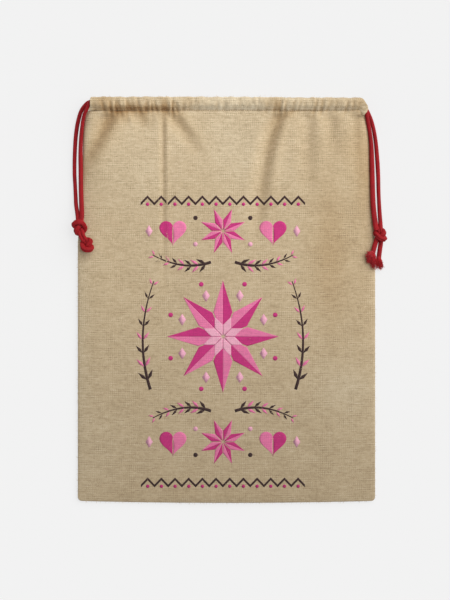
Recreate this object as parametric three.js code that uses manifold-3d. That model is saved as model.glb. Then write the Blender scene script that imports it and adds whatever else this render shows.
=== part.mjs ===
// A drawstring sack of jute cloth, lying flat on its back with its mouth slightly open.
// Millimetres. X to the right, Y from the bottom seam up to the mouth, Z up through the cloth.
// The origin is at the middle of the sack, on the floor that it lies on.
import * as THREE from 'three';
import { mergeVertices } from 'three/addons/utils/BufferGeometryUtils.js';
import Module from 'manifold-3d';

// Cloth
const sackWidth = 500;
const sackHeight = 682;
const mouthWidth = 456;
const clothThickness = 1.1;
const bottomBow = 3.4;
const cornerRadius = 6;
const hemSideStep = 3;

// How the width draws in from the full sack to the gathered mouth
const gatherHeight = 223;
const gatherTaper = 0.75;
const gatherFlarePower = 8;

// Seams, each two allowances and their overlocked thread, turned to the inside
const seamAllowance = 10;
const seamThickness = 2.3;
const seamChamfer = 1;

// Hem, a tunnel on each panel for the two cords
const stitchedLip = 3.4;
const puckerRise = 1.6;
const puckerPitch = 27;
const puckerWander = 1.3;
const mouthGap = 5;
const slitLength = 22;

// Cords
const cordDiameter = 7;
const cordPlay = 0.4;
const laneGap = 1;
const loopLength = 32;

// Knots and frayed ends
const knotCordDiameter = 4.8;
const knotMiddleRadius = 1.183;
const knotWeave = 0.53;
const knotCrossingRoom = 1.1;
const knotSteps = 54;
const leftKnotSize = { width: 23.5, length: 22 };
const leftEndKnotSize = { width: 23, length: 23 };
const rightKnotSize = { width: 22, length: 23.5 };
const doubledTailWidth = 11.5;
const innerFraySize = { width: 17, thickness: 10 };
const outerFraySize = { width: 12.5, thickness: 8 };
const frayOpening = 0.62;

// Fullness of the front panel, and the band along its edge where its facets are closer
const crownPower = 0.4;
const shoulderSharpness = 30;
const foldStart = 14;
const edgeBand = 24;
const edgeBandSteps = 4;
const edgeRounding = 3;

// Clearances
const fit = 0.3;
const cutOverrun = 2;

// Finish
const juteColour = 0xc0ac8c;
const seamColour = 0xcdbb98;
const cordColour = 0xa81820;

// Sizes that follow from those above
const cordRadius = cordDiameter / 2;
const mouthHalf = mouthWidth / 2;
const tunnelInner = cordDiameter + 2 * cordPlay;
const hemThickness = tunnelInner + 2 * clothThickness;
const hemTop = sackHeight / 2;
const tunnelTop = hemTop - puckerRise;
const upperLane = tunnelTop - clothThickness - cordPlay - cordRadius;
const lowerLane = upperLane - cordDiameter - laneGap;
const tunnelBottom = lowerLane - cordRadius - cordPlay - clothThickness;
const hemLine = tunnelBottom - stitchedLip;
const frontHemBase = hemThickness + mouthGap;
const backLaneHeight = hemThickness / 2;
const frontLaneHeight = frontHemBase + hemThickness / 2;
const seamBase = clothThickness + fit;
const frontRim = seamBase + seamThickness + fit;
const frontRise = frontLaneHeight - clothThickness / 2 - frontRim;
const panelTop = hemLine - fit;
const runLength = mouthWidth - loopLength - fit;
const pivotReach = cordRadius + fit;

const wasm = await Module();
wasm.setup();

const jute = new THREE.MeshStandardMaterial({ color: juteColour, roughness: 0.95, metalness: 0 });
const overlock = new THREE.MeshStandardMaterial({ color: seamColour, roughness: 0.95, metalness: 0 });
const braid = new THREE.MeshStandardMaterial({ color: cordColour, roughness: 0.7, metalness: 0 });

function namedMesh(name, geometry, material) {
  const mesh = new THREE.Mesh(geometry, material);
  mesh.name = name;
  return mesh;
}

// Joining and cutting

function toSolid(geometry) {
  const bare = geometry.clone();
  bare.deleteAttribute('normal');
  bare.deleteAttribute('uv');
  const merged = mergeVertices(bare, 1e-3);
  const vertProperties = new Float32Array(merged.attributes.position.array);
  const triVerts = new Uint32Array(merged.index.array);
  return new wasm.Manifold(new wasm.Mesh({ numProp: 3, vertProperties, triVerts }));
}

function toGeometry(solid) {
  const mesh = solid.getMesh();
  const geometry = new THREE.BufferGeometry();
  geometry.setAttribute('position', new THREE.BufferAttribute(mesh.vertProperties, 3));
  geometry.setIndex(new THREE.BufferAttribute(mesh.triVerts, 1));
  geometry.computeVertexNormals();
  return geometry;
}

// A closed body from rings of points, all with the same count, with flat fans at both ends
function loftRings(rings) {
  const count = rings[0].length;
  const positions = rings.flat().flatMap((p) => [p.x, p.y, p.z]);
  const faces = [];
  for (let ring = 0; ring + 1 < rings.length; ring += 1) {
    for (let side = 0; side < count; side += 1) {
      const a = ring * count + side;
      const b = ring * count + ((side + 1) % count);
      faces.push(a, b, b + count, a, b + count, a + count);
    }
  }
  for (let side = 1; side + 1 < count; side += 1) {
    const last = (rings.length - 1) * count;
    faces.push(0, side + 1, side, last, last + side, last + side + 1);
  }
  const geometry = new THREE.BufferGeometry();
  geometry.setAttribute('position', new THREE.Float32BufferAttribute(positions, 3));
  geometry.setIndex(faces);
  geometry.computeVertexNormals();
  return geometry;
}

// Outline of the sack

const gatherStart = hemLine - gatherHeight;
const shoulderHalf = mouthHalf + hemSideStep;

function gathered(y) {
  return THREE.MathUtils.clamp((y - gatherStart) / gatherHeight, 0, 1);
}

function sideEdge(y) {
  const share = gathered(y);
  const drawnIn = gatherTaper * share + (1 - gatherTaper) * share ** gatherFlarePower;
  return sackWidth / 2 - (sackWidth / 2 - shoulderHalf) * drawnIn;
}

function bottomEdge(x) {
  return -sackHeight / 2 + bottomBow * (2 * x / sackWidth) ** 2;
}

// Half the width of a row that lies a given distance above the bottom edge, with round corners
function rowHalfWidth(y, aboveBottom) {
  const intoCorner = Math.max(cornerRadius - aboveBottom, 0);
  const cornerCut = cornerRadius - Math.sqrt(cornerRadius ** 2 - intoCorner ** 2);
  return sideEdge(y) - cornerCut;
}

// Back panel, flat on the floor

function backPanelGeometry() {
  const outline = new THREE.Shape();
  const low = -sackHeight / 2 + bottomBow;
  const half = sackWidth / 2;
  const bottomSteps = 16;
  const gatherSteps = 14;
  outline.moveTo(half, low + cornerRadius);
  for (let step = 1; step <= gatherSteps; step += 1) {
    const y = gatherStart + (panelTop - gatherStart) * step / gatherSteps;
    outline.lineTo(sideEdge(y), y);
  }
  for (let step = gatherSteps; step >= 1; step -= 1) {
    const y = gatherStart + (panelTop - gatherStart) * step / gatherSteps;
    outline.lineTo(-sideEdge(y), y);
  }
  outline.lineTo(-half, low + cornerRadius);
  outline.absarc(-half + cornerRadius, low + cornerRadius, cornerRadius, Math.PI, 1.5 * Math.PI, false);
  for (let step = 1; step < bottomSteps; step += 1) {
    const x = (half - cornerRadius) * (2 * step / bottomSteps - 1);
    outline.lineTo(x, bottomEdge(x));
  }
  outline.absarc(half - cornerRadius, low + cornerRadius, cornerRadius, -0.5 * Math.PI, 0, false);
  return new THREE.ExtrudeGeometry(outline, { depth: clothThickness, bevelEnabled: false, curveSegments: 6 });
}

// Front panel, crowned over the space inside, with soft folds that run down from the gathered hem.
// Each fold has its place along the hem, how far it leans by its end, its depth, width and reach.
const folds = [
  { at: -190, lean: -26, depth: 2.4, width: 17, reach: 110 },
  { at: -101, lean: -7, depth: 3.2, width: 17, reach: 210 },
  { at: -76, lean: 32, depth: 2, width: 15, reach: 100 },
  { at: 73, lean: -14, depth: 4, width: 18, reach: 230 },
  { at: 104, lean: 4, depth: 2, width: 15, reach: 90 },
  { at: 150, lean: 6, depth: 2.8, width: 18, reach: 170 },
];

function foldDepth(x, y) {
  const below = panelTop - y;
  const easeIn = THREE.MathUtils.smoothstep(below, 0, foldStart);
  let depth = 0;
  for (const fold of folds) {
    const share = Math.min(below / fold.reach, 1);
    const offset = (x - fold.at - fold.lean * share) / fold.width;
    depth += fold.depth * (1 - share) * easeIn * Math.exp(-offset * offset);
  }
  return depth;
}

function edgeDistances() {
  const distances = [];
  for (let step = 0; step < edgeBandSteps; step += 1) distances.push(edgeBand * (step / edgeBandSteps) ** 2);
  return distances;
}

function spaced(from, to, steps) {
  return Array.from({ length: steps + 1 }, (_, step) => from + (to - from) * step / steps);
}

// The cloth reaches its full thickness a little way in from the edge
function clothNearEdge(edgeDistance) {
  const outside = Math.max(1 - edgeDistance / edgeRounding, 0);
  return clothThickness * Math.sqrt(1 - outside * outside);
}

// One skin of the front panel: inset is how far it lies inside the outer outline
function frontSkin(inset) {
  const lowestRow = edgeBand;
  const bodyRows = spaced(lowestRow, gatherStart + sackHeight / 2, 7);
  const gatherRows = spaced(gatherStart + sackHeight / 2, panelTop + sackHeight / 2, 12);
  const rows = [...edgeDistances(), ...bodyRows.slice(0, -1), ...gatherRows];
  const rowTop = panelTop + sackHeight / 2;
  return rows.map((row) => {
    const share = row / rowTop;
    const rowY = -sackHeight / 2 + row;
    const half = rowHalfWidth(rowY, row) - inset;
    const edges = edgeDistances();
    const columns = [
      ...edges.map((distance) => distance - half),
      ...spaced(edgeBand - half, half - edgeBand, 28),
      ...edges.map((distance) => half - distance).reverse(),
    ];
    const sharpness = 2 + shoulderSharpness * gathered(rowY) ** 3;
    return columns.map((x) => {
      const low = bottomEdge(x) + inset;
      const y = low + (panelTop - low) * share;
      const across = Math.sqrt(Math.max(1 - Math.abs(x / half) ** sharpness, 0));
      const rise = (frontRise * share ** crownPower - foldDepth(x, y)) * across;
      const thickness = inset > 0 ? 0 : clothNearEdge(Math.min(half - Math.abs(x), row));
      return new THREE.Vector3(x, y, frontRim + rise + thickness);
    });
  });
}

// A sheet between an outer and an inner grid of points, closed by a rim all the way round
function sheetGeometry(outer, inner) {
  const rows = outer.length;
  const columns = outer[0].length;
  const positions = [...outer.flat(), ...inner.flat()].flatMap((p) => [p.x, p.y, p.z]);
  const faces = [];
  const top = (row, column) => row * columns + column;
  const under = (row, column) => rows * columns + top(row, column);
  for (let row = 0; row + 1 < rows; row += 1) {
    for (let column = 0; column + 1 < columns; column += 1) {
      faces.push(top(row, column), top(row, column + 1), top(row + 1, column + 1));
      faces.push(top(row, column), top(row + 1, column + 1), top(row + 1, column));
      faces.push(under(row, column), under(row + 1, column + 1), under(row, column + 1));
      faces.push(under(row, column), under(row + 1, column), under(row + 1, column + 1));
    }
  }
  const rim = [];
  for (let column = 0; column < columns; column += 1) rim.push([0, column]);
  for (let row = 1; row < rows; row += 1) rim.push([row, columns - 1]);
  for (let column = columns - 2; column >= 0; column -= 1) rim.push([rows - 1, column]);
  for (let row = rows - 2; row >= 1; row -= 1) rim.push([row, 0]);
  rim.forEach(([row, column], place) => {
    const [nextRow, nextColumn] = rim[(place + 1) % rim.length];
    faces.push(top(row, column), under(row, column), under(nextRow, nextColumn));
    faces.push(top(row, column), under(nextRow, nextColumn), top(nextRow, nextColumn));
  });
  const geometry = new THREE.BufferGeometry();
  geometry.setAttribute('position', new THREE.Float32BufferAttribute(positions, 3));
  geometry.setIndex(faces);
  geometry.computeVertexNormals();
  return geometry;
}

function frontPanelGeometry() {
  return sheetGeometry(frontSkin(0), frontSkin(clothThickness));
}

// Seams, a flat strip with chamfered edges that follows the outline just inside it

function seamRing(edgePoint, inward) {
  const profile = [
    [0, seamChamfer],
    [seamChamfer, 0],
    [seamAllowance - seamChamfer, 0],
    [seamAllowance, seamChamfer],
    [seamAllowance, seamThickness - seamChamfer],
    [seamAllowance - seamChamfer, seamThickness],
    [seamChamfer, seamThickness],
    [0, seamThickness - seamChamfer],
  ];
  return profile.map(([depth, height]) => new THREE.Vector3(
    edgePoint.x + inward.x * depth,
    edgePoint.y + inward.y * depth,
    seamBase + height,
  ));
}

function sideSeamGeometry() {
  const lowEnd = -sackHeight / 2 + bottomBow + seamAllowance + fit;
  const heights = [lowEnd, ...spaced(gatherStart, hemLine - fit, 14)];
  const inward = new THREE.Vector2(-1, 0);
  return loftRings(heights.map((y) => seamRing(new THREE.Vector2(sideEdge(y), y), inward)));
}

function bottomSeamGeometry() {
  const inward = new THREE.Vector2(0, 1);
  const reach = sackWidth / 2 - cornerRadius;
  return loftRings(spaced(-reach, reach, 16).map((x) => seamRing(new THREE.Vector2(x, bottomEdge(x)), inward)));
}

// Hem tunnels

// An uneven ripple along the hem, from 0 at the ends to 1 at a full pucker
function pucker(x) {
  const wander = puckerWander * Math.sin(x / puckerPitch);
  const wave = 0.5 + 0.5 * Math.sin(2 * Math.PI * x / puckerPitch + wander);
  const endFade = THREE.MathUtils.smoothstep(mouthHalf - Math.abs(x), 0, puckerPitch);
  return wave * endFade;
}

const arcSteps = 4;

// The outside of a tunnel in Y and Z, from the stitched lip round the top and back
function tunnelOutline(lipHeight, swellUp, swellOut) {
  const radius = hemThickness / 2;
  const lowCentre = tunnelBottom + radius;
  const highCentre = tunnelTop - radius;
  const angleAt = (height) => Math.asin(THREE.MathUtils.clamp((height - radius) / radius, -1, 1));
  const lipAbove = angleAt(lipHeight + clothThickness);
  const lipBelow = angleAt(lipHeight - clothThickness);
  const points = [
    [hemLine, lipHeight - clothThickness],
    [hemLine, lipHeight + clothThickness],
  ];
  for (let step = 0; step <= arcSteps; step += 1) {
    const angle = lipAbove + (Math.PI / 2 - lipAbove) * step / arcSteps;
    points.push([lowCentre - radius * Math.cos(angle), radius + (radius + swellUp) * Math.sin(angle)]);
  }
  for (let step = 0; step <= 2 * arcSteps; step += 1) {
    const angle = Math.PI / 2 - Math.PI * step / (2 * arcSteps);
    const lift = angle > 0 ? swellUp : 0;
    points.push([
      highCentre + (radius + swellOut) * Math.cos(angle),
      radius + (radius + lift) * Math.sin(angle),
    ]);
  }
  if (lipBelow > -Math.PI / 2) {
    for (let step = 0; step <= arcSteps; step += 1) {
      const angle = -Math.PI / 2 + (lipBelow + Math.PI / 2) * step / arcSteps;
      points.push([lowCentre - radius * Math.cos(angle), radius + radius * Math.sin(angle)]);
    }
  } else {
    points.push([lowCentre, 0]);
  }
  return points;
}

function tunnelBore() {
  const radius = tunnelInner / 2;
  const centreHeight = hemThickness / 2;
  const lowCentre = tunnelBottom + clothThickness + radius;
  const highCentre = tunnelTop - clothThickness - radius;
  const bore = new THREE.Shape();
  bore.moveTo(lowCentre, centreHeight - radius);
  bore.absarc(highCentre, centreHeight, radius, -Math.PI / 2, Math.PI / 2, false);
  bore.absarc(lowCentre, centreHeight, radius, Math.PI / 2, 1.5 * Math.PI, false);
  const length = mouthWidth + 2 * cutOverrun;
  const geometry = new THREE.ExtrudeGeometry(bore, { depth: length, bevelEnabled: false, curveSegments: 8 });
  geometry.rotateY(Math.PI / 2);
  geometry.rotateX(Math.PI / 2);
  geometry.translate(-length / 2, 0, 0);
  return geometry;
}

// A slit at one end of the tunnel, towards the other hem, where a cord crosses from one to the other
function slitBox(side, opensUp) {
  const width = tunnelTop - tunnelBottom - 2 * clothThickness;
  const depth = hemThickness / 2 + cutOverrun;
  const box = new THREE.BoxGeometry(slitLength + cutOverrun, width, depth);
  const x = side * (mouthHalf - slitLength / 2 + cutOverrun / 2);
  const z = hemThickness / 2 + (opensUp ? depth / 2 : -depth / 2);
  box.translate(x, (tunnelTop + tunnelBottom) / 2, z);
  return box;
}

function hemGeometry(lipHeight, opensUp, stations, riseUp) {
  const rings = spaced(-mouthHalf, mouthHalf, stations).map((x) => {
    const outline = tunnelOutline(lipHeight, riseUp * pucker(x), puckerRise * pucker(x));
    return outline.map(([y, z]) => new THREE.Vector3(x, y, z)).reverse();
  });
  let solid = toSolid(loftRings(rings)).subtract(toSolid(tunnelBore()));
  for (const side of [-1, 1]) solid = solid.subtract(toSolid(slitBox(side, opensUp)));
  return toGeometry(solid);
}

// Cords

class Route extends THREE.CatmullRomCurve3 {
  constructor(points) {
    super(points.map(([x, y, z]) => new THREE.Vector3(x, y, z)), false, 'centripetal');
  }
}

function roundSection(radius, sides) {
  const section = new THREE.Shape();
  section.absarc(0, 0, radius, 0, 2 * Math.PI, false);
  return new THREE.Shape(section.getSpacedPoints(sides).slice(0, -1));
}

function cordTube(route, steps) {
  const section = roundSection(cordRadius, 8);
  return new THREE.ExtrudeGeometry(section, { extrudePath: route, steps, bevelEnabled: false });
}

// A strand starts with a round end about its pivot, so that it can swing beside the cord in the tunnel
function strandGeometry(points) {
  const ball = new THREE.SphereGeometry(cordRadius, 8, 6);
  ball.translate(...points[0]);
  return toGeometry(toSolid(cordTube(new Route(points), 18)).add(toSolid(ball)));
}

// A cord in its tunnel, straight from its own mouth to just short of the far one
function runGeometry(side) {
  const start = side * mouthHalf;
  return cordTube(new THREE.LineCurve3(
    new THREE.Vector3(start, 0, 0),
    new THREE.Vector3(start - side * runLength, 0, 0),
  ), 1);
}

// The far end of a cord: along the front tunnel, round through the slit and back in the other tunnel
function farLoopGeometry(side) {
  const bendRadius = (frontLaneHeight - backLaneHeight) / 2;
  const bendCentre = mouthHalf - fit - cordRadius - bendRadius;
  const innerEnd = mouthHalf - loopLength;
  const middle = (frontLaneHeight + backLaneHeight) / 2;
  const straight = bendCentre - cordDiameter;
  const points = [
    new THREE.Vector3(side * innerEnd, 0, frontLaneHeight),
    new THREE.Vector3(side * straight, 0, frontLaneHeight),
  ];
  const bendSteps = 8;
  for (let step = 0; step <= bendSteps; step += 1) {
    const angle = Math.PI / 2 - Math.PI * step / bendSteps;
    points.push(new THREE.Vector3(
      side * (bendCentre + bendRadius * Math.cos(angle)),
      0,
      middle + bendRadius * Math.sin(angle),
    ));
  }
  points.push(new THREE.Vector3(side * straight, 0, backLaneHeight));
  points.push(new THREE.Vector3(side * innerEnd, 0, backLaneHeight));
  const path = new THREE.CatmullRomCurve3(points, false, 'centripetal');
  return cordTube(path, 16);
}

// An overhand knot drawn tight: one cord wound three times round itself
class OverhandKnot extends THREE.Curve {
  constructor(width, length) {
    super();
    this.wide = width;
    this.long = length;
  }

  getPoint(share) {
    const turn = 2 * Math.PI * share;
    const reach = (knotMiddleRadius + knotWeave * Math.cos(3 * turn)) / (knotMiddleRadius + knotWeave);
    return new THREE.Vector3(
      (this.wide - knotCordDiameter) / 2 * reach * Math.cos(2 * turn),
      (this.long - knotCordDiameter) / 2 * reach * Math.sin(2 * turn),
      knotWeave * knotCrossingRoom * knotCordDiameter * Math.sin(3 * turn),
    );
  }

  // The least room between two stretches of the cord that lie apart along it
  leastGap() {
    const points = this.getSpacedPoints(360).slice(0, -1);
    const spacing = this.getLength() / points.length;
    const apart = Math.ceil(2.2 * knotCordDiameter / spacing);
    let least = Infinity;
    for (let first = 0; first < points.length; first += 1) {
      for (let second = first + apart; second <= first + points.length - apart; second += 1) {
        least = Math.min(least, points[first].distanceTo(points[second % points.length]));
      }
    }
    return least - knotCordDiameter;
  }
}

function knotMesh(name, { width, length }) {
  const knot = new OverhandKnot(width, length);
  console.log(`${name}: least gap to itself ${knot.leastGap().toFixed(2)} mm`);
  const tube = new THREE.TubeGeometry(knot, knotSteps, knotCordDiameter / 2, 7, true);
  return namedMesh(name, tube, braid);
}

// A tapered piece along a route, with an oval section of its own width and thickness at each step
function ovalTaper(points, steps, widthAt, thicknessAt) {
  const route = new Route(points);
  const sides = 12;
  const up = new THREE.Vector3(0, 0, 1);
  const rings = spaced(0, 1, steps).map((share) => {
    const centre = route.getPoint(share);
    const along = route.getTangent(share);
    const across = new THREE.Vector3().crossVectors(along, up).normalize();
    const over = new THREE.Vector3().crossVectors(across, along).normalize();
    return Array.from({ length: sides }, (_, side) => {
      const angle = 2 * Math.PI * side / sides;
      return centre.clone()
        .addScaledVector(across, widthAt(share) / 2 * Math.cos(angle))
        .addScaledVector(over, thicknessAt(share) / 2 * Math.sin(angle));
    });
  });
  return loftRings(rings.reverse());
}

// Assembly

const model = new THREE.Group();

const sack = new THREE.Group();
model.add(sack);
sack.add(namedMesh('back_panel', backPanelGeometry(), jute));
sack.add(namedMesh('front_panel', frontPanelGeometry(), jute));
sack.add(namedMesh('bottom_seam', bottomSeamGeometry(), overlock));
for (const [name, side] of [['left_side_seam', -1], ['right_side_seam', 1]]) {
  const seam = sideSeamGeometry();
  if (side < 0) seam.rotateY(Math.PI).translate(0, 0, 2 * seamBase + seamThickness);
  sack.add(namedMesh(name, seam, overlock));
}

const backHem = namedMesh('back_hem', hemGeometry(clothThickness, true, 24, 0), jute);
sack.add(backHem);
const frontHem = namedMesh('front_hem', hemGeometry(hemThickness / 2, false, 46, puckerRise), jute);
frontHem.position.z = frontHemBase;
sack.add(frontHem);

// Both cords run through both tunnels and come out at their own side only
const drawstrings = [
  { name: 'left', side: -1, lane: upperLane },
  { name: 'right', side: 1, lane: lowerLane },
];
const cordEnds = {};
for (const { name, side, lane } of drawstrings) {
  const farLoop = namedMesh(`${name}_cord_far_loop`, farLoopGeometry(-side), braid);
  farLoop.position.y = lane;
  sack.add(farLoop);

  const drawstring = new THREE.Group();
  drawstring.position.y = lane;
  model.add(drawstring);
  const frontRun = namedMesh(`${name}_cord_front_run`, runGeometry(side), braid);
  frontRun.position.z = frontLaneHeight;
  drawstring.add(frontRun);
  const backRun = namedMesh(`${name}_cord_back_run`, runGeometry(side), braid);
  backRun.position.z = backLaneHeight;
  drawstring.add(backRun);

  const end = new THREE.Group();
  end.position.set(side * (mouthHalf + pivotReach), 0, 0);
  drawstring.add(end);
  cordEnds[name] = end;
}

// Left end: two strands, a knot, and a short doubled tail that ends in a knot of its own.
// Points are measured from the pivot in X and Y, and from the floor in Z.
const leftInnerStrand = [
  [0, 0, frontLaneHeight], [-2.9, -6.5, 19.4], [-5.4, -18, 17.2], [-8.4, -36, 13.6], [-11.6, -60, 11],
  [-13.4, -86, 10.4], [-13.5, -115, 10.6], [-12.9, -148, 11], [-12.2, -176, 12.8], [-12, -196.4, 15.2],
];
const leftOuterStrand = [
  [0, 0, backLaneHeight], [-6.5, -5, 4.9], [-13, -15, 4.4], [-18, -32, 3.9], [-21.4, -55, 3.7],
  [-23, -90, 3.7], [-22.6, -126, 3.7], [-21, -155, 4.8], [-19, -178, 8], [-18, -196.4, 10.8],
];
const leftTail = [[-14, -217.6, 15], [-10.9, -226.4, 15.6], [-7.4, -232, 16.2]];

const leftEnd = cordEnds.left;
leftEnd.add(namedMesh('left_inner_strand', strandGeometry(leftInnerStrand), braid));
leftEnd.add(namedMesh('left_outer_strand', strandGeometry(leftOuterStrand), braid));
const leftKnot = knotMesh('left_knot', leftKnotSize);
leftKnot.position.set(-15.7, -206.9, 15);
leftEnd.add(leftKnot);
const doubledTail = ovalTaper(leftTail, 4, () => doubledTailWidth, () => cordDiameter);
leftEnd.add(namedMesh('left_tail', doubledTail, braid));
const leftEndKnot = knotMesh('left_end_knot', leftEndKnotSize);
leftEndKnot.position.set(-2.2, -242.8, 16.6);
leftEnd.add(leftEndKnot);

// Right end: two strands, a knot, and two tails with frayed ends
const rightInnerStrand = [
  [0, 0, frontLaneHeight], [1.8, -7.4, 19.2], [4.7, -23.4, 15.6], [8.7, -46.4, 12], [12, -71.4, 10.6],
  [13.5, -101.4, 10.4], [14, -131.4, 10.8], [14.4, -158.4, 11.2], [16.4, -182.4, 11], [20.6, -206.4, 9.6],
];
const rightOuterStrand = [
  [0, 0, backLaneHeight], [4.7, -6.9, 4.8], [11.2, -20.4, 4.2], [16.7, -36.4, 3.8], [20.2, -58.4, 3.7],
  [22.2, -85.4, 3.7], [23, -116.4, 3.7], [24, -146.4, 3.7], [25.6, -176.4, 4.6], [28.2, -205, 6.4],
];
const rightInnerTail = [[21.4, -227.6, 9.4], [18.6, -237, 10.6], [13.9, -247.4, 12.4]];
const rightOuterTail = [[28.6, -228.2, 5.4], [28, -240, 4.4], [27.4, -255, 4]];
const innerFray = [[13.5, -248.3, 12.5], [10.6, -258, 13.4], [6.6, -274, 14.4]];
const outerFray = [[27.4, -255.6, 4], [27, -264, 4.4], [25.6, -276, 4.8]];

// A frayed end swells from the cord's own size into a ribbed tuft
function frayGeometry(points, { width, thickness }) {
  const opening = (share) => Math.sin(frayOpening * Math.PI * share);
  const widthAt = (share) => cordDiameter + (width - cordDiameter) * opening(share);
  const thicknessAt = (share) => cordDiameter + (thickness - cordDiameter) * opening(share);
  return ovalTaper(points, 6, widthAt, thicknessAt);
}

const rightEnd = cordEnds.right;
rightEnd.add(namedMesh('right_inner_strand', strandGeometry(rightInnerStrand), braid));
rightEnd.add(namedMesh('right_outer_strand', strandGeometry(rightOuterStrand), braid));
const rightKnot = knotMesh('right_knot', rightKnotSize);
rightKnot.position.set(27.2, -216.9, 6.6);
rightEnd.add(rightKnot);
for (const [name, tail] of [['inner', rightInnerTail], ['outer', rightOuterTail]]) {
  rightEnd.add(namedMesh(`right_${name}_tail`, cordTube(new Route(tail), 6), braid));
}
rightEnd.add(namedMesh('right_inner_fray', frayGeometry(innerFray, innerFraySize), braid));
rightEnd.add(namedMesh('right_outer_fray', frayGeometry(outerFray, outerFraySize), braid));

model.updateMatrixWorld(true);
export default model;
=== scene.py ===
"""A drawstring sack of jute cloth with a printed front and red braided cords, lying flat on its back.

Lengths in the classes are in millimetres, and become metres when a mesh is made. X runs to the
right, Y from the bottom seam up to the mouth, and Z up out of the front cloth.
"""

import logging
import math
from dataclasses import dataclass, field
from enum import Enum
from functools import cached_property
from typing import Iterator, Sequence

import bmesh
import bpy
import numpy as np
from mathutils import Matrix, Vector


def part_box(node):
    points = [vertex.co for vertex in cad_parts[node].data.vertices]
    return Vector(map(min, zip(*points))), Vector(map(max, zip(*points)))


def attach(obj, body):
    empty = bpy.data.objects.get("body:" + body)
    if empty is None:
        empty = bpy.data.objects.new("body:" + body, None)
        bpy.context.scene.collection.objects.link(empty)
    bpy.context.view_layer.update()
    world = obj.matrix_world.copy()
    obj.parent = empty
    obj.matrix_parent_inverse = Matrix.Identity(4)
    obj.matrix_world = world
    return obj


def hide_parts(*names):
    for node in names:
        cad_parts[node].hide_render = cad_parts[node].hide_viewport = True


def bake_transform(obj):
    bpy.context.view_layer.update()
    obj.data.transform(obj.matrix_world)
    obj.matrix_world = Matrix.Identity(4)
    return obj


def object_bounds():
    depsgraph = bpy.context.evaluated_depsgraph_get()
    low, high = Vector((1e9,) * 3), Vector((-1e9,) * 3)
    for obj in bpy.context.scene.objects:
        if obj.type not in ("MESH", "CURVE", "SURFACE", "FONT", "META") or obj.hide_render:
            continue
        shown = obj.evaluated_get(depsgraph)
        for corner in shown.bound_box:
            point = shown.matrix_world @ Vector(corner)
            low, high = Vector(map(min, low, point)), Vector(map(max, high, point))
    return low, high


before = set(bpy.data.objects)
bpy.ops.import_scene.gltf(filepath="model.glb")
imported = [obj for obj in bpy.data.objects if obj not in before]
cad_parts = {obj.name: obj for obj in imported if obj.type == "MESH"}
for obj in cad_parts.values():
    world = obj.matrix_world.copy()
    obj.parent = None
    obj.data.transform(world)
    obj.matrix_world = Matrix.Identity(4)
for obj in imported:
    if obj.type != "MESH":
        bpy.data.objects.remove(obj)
CAD_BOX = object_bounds()

MM = 0.001

Colour = tuple[int, int, int]
Pair = tuple[float, float]
Place = tuple[float, float, float]
Route = Sequence[Sequence[float]]
Array = np.ndarray
Piece = bpy.types.Object
Material = bpy.types.Material

log = logging.getLogger("sack")


class Side(Enum):
    """The two ends of the mouth."""

    LEFT = -1
    RIGHT = 1


# Lines and numbers


def smoothstep(value: Array | float, low: float, high: float) -> Array:
    """Rise smoothly from 0 where the value is low to 1 where it is high."""
    share = np.clip((np.asarray(value, float) - low) / (high - low), 0.0, 1.0)
    return share * share * (3.0 - 2.0 * share)


def bell(offset: Array | float) -> Array:
    """Find the height of a bell of height 1 at an offset from its middle, in times its width."""
    return np.exp(-offset * offset)


def spread(low: float, high: float, count: int) -> list[float]:
    """Space a count of numbers evenly from low to high."""
    return list(np.linspace(low, high, count))


def unit(vectors: Array) -> Array:
    """Bring vectors to a length of 1."""
    return vectors / np.linalg.norm(vectors, axis=-1, keepdims=True)


def distances(line: Array, power: float = 1.0) -> Array:
    """Measure how far along a line, or each line of a grid, its points lie, by steps to a power."""
    steps = np.linalg.norm(np.diff(line, axis=-2), axis=-1) ** power
    return np.concatenate([np.zeros((*steps.shape[:-1], 1)), np.cumsum(steps, axis=-1)], axis=-1)


def even_steps(line: Array, step: float) -> Array:
    """Cut a line into even steps of about the given length, both ends included."""
    along = distances(line)
    count = max(int(round(along[-1] / step)), 1) + 1
    places = np.linspace(0.0, along[-1], count)
    return np.column_stack([np.interp(places, along, line[:, axis]) for axis in range(line.shape[1])])


def spline(points: Route, step: float) -> Array:
    """Draw a smooth curve through points and cut it into even steps.

    Args:
        points: The places that the curve passes, in two or three dimensions.
        step: The wanted distance between the results.

    Returns:
        Points along a centripetal Catmull-Rom curve, a step apart.
    """
    given = np.asarray(points, float)
    ends = np.vstack([2 * given[0] - given[1], given, 2 * given[-1] - given[-2]])
    knots = distances(ends, 0.5)
    fine = []
    for start in range(len(ends) - 3):
        knot = knots[start:start + 4]
        t = np.linspace(knot[1], knot[2], 40, endpoint=False)[:, None]
        places = list(ends[start:start + 4])
        for reach, lows in ((1, (0, 1, 2)), (2, (0, 1)), (1, (1,))):
            places = [(knot[low + reach] - t) / (knot[low + reach] - knot[low]) * first
                      + (t - knot[low]) / (knot[low + reach] - knot[low]) * second
                      for low, first, second in zip(lows, places, places[1:])]
        fine.append(places[0])
    return even_steps(np.vstack(fine + [given[-1:]]), step)


def square_directions(line: Array) -> tuple[Array, Array]:
    """Find the directions across and over a line at each of its points, without a twist between them."""
    tangents = unit(np.gradient(line, axis=0))
    start = np.cross(tangents[0], [0.0, 0.0, 1.0])
    if np.linalg.norm(start) < 0.1:
        start = np.cross(tangents[0], [0.0, 1.0, 0.0])
    across = [unit(start)]
    for tangent in tangents[1:]:
        across.append(unit(across[-1] - tangent * np.dot(across[-1], tangent)))
    across = np.array(across)
    return across, np.cross(tangents, across)


# Meshes and objects


def select_only(*pieces: Piece) -> None:
    """Select the given objects and nothing else, and make the first one active."""
    for obj in list(bpy.context.selected_objects):
        obj.select_set(False)
    for obj in pieces:
        obj.select_set(True)
    bpy.context.view_layer.objects.active = pieces[0] if pieces else None


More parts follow.
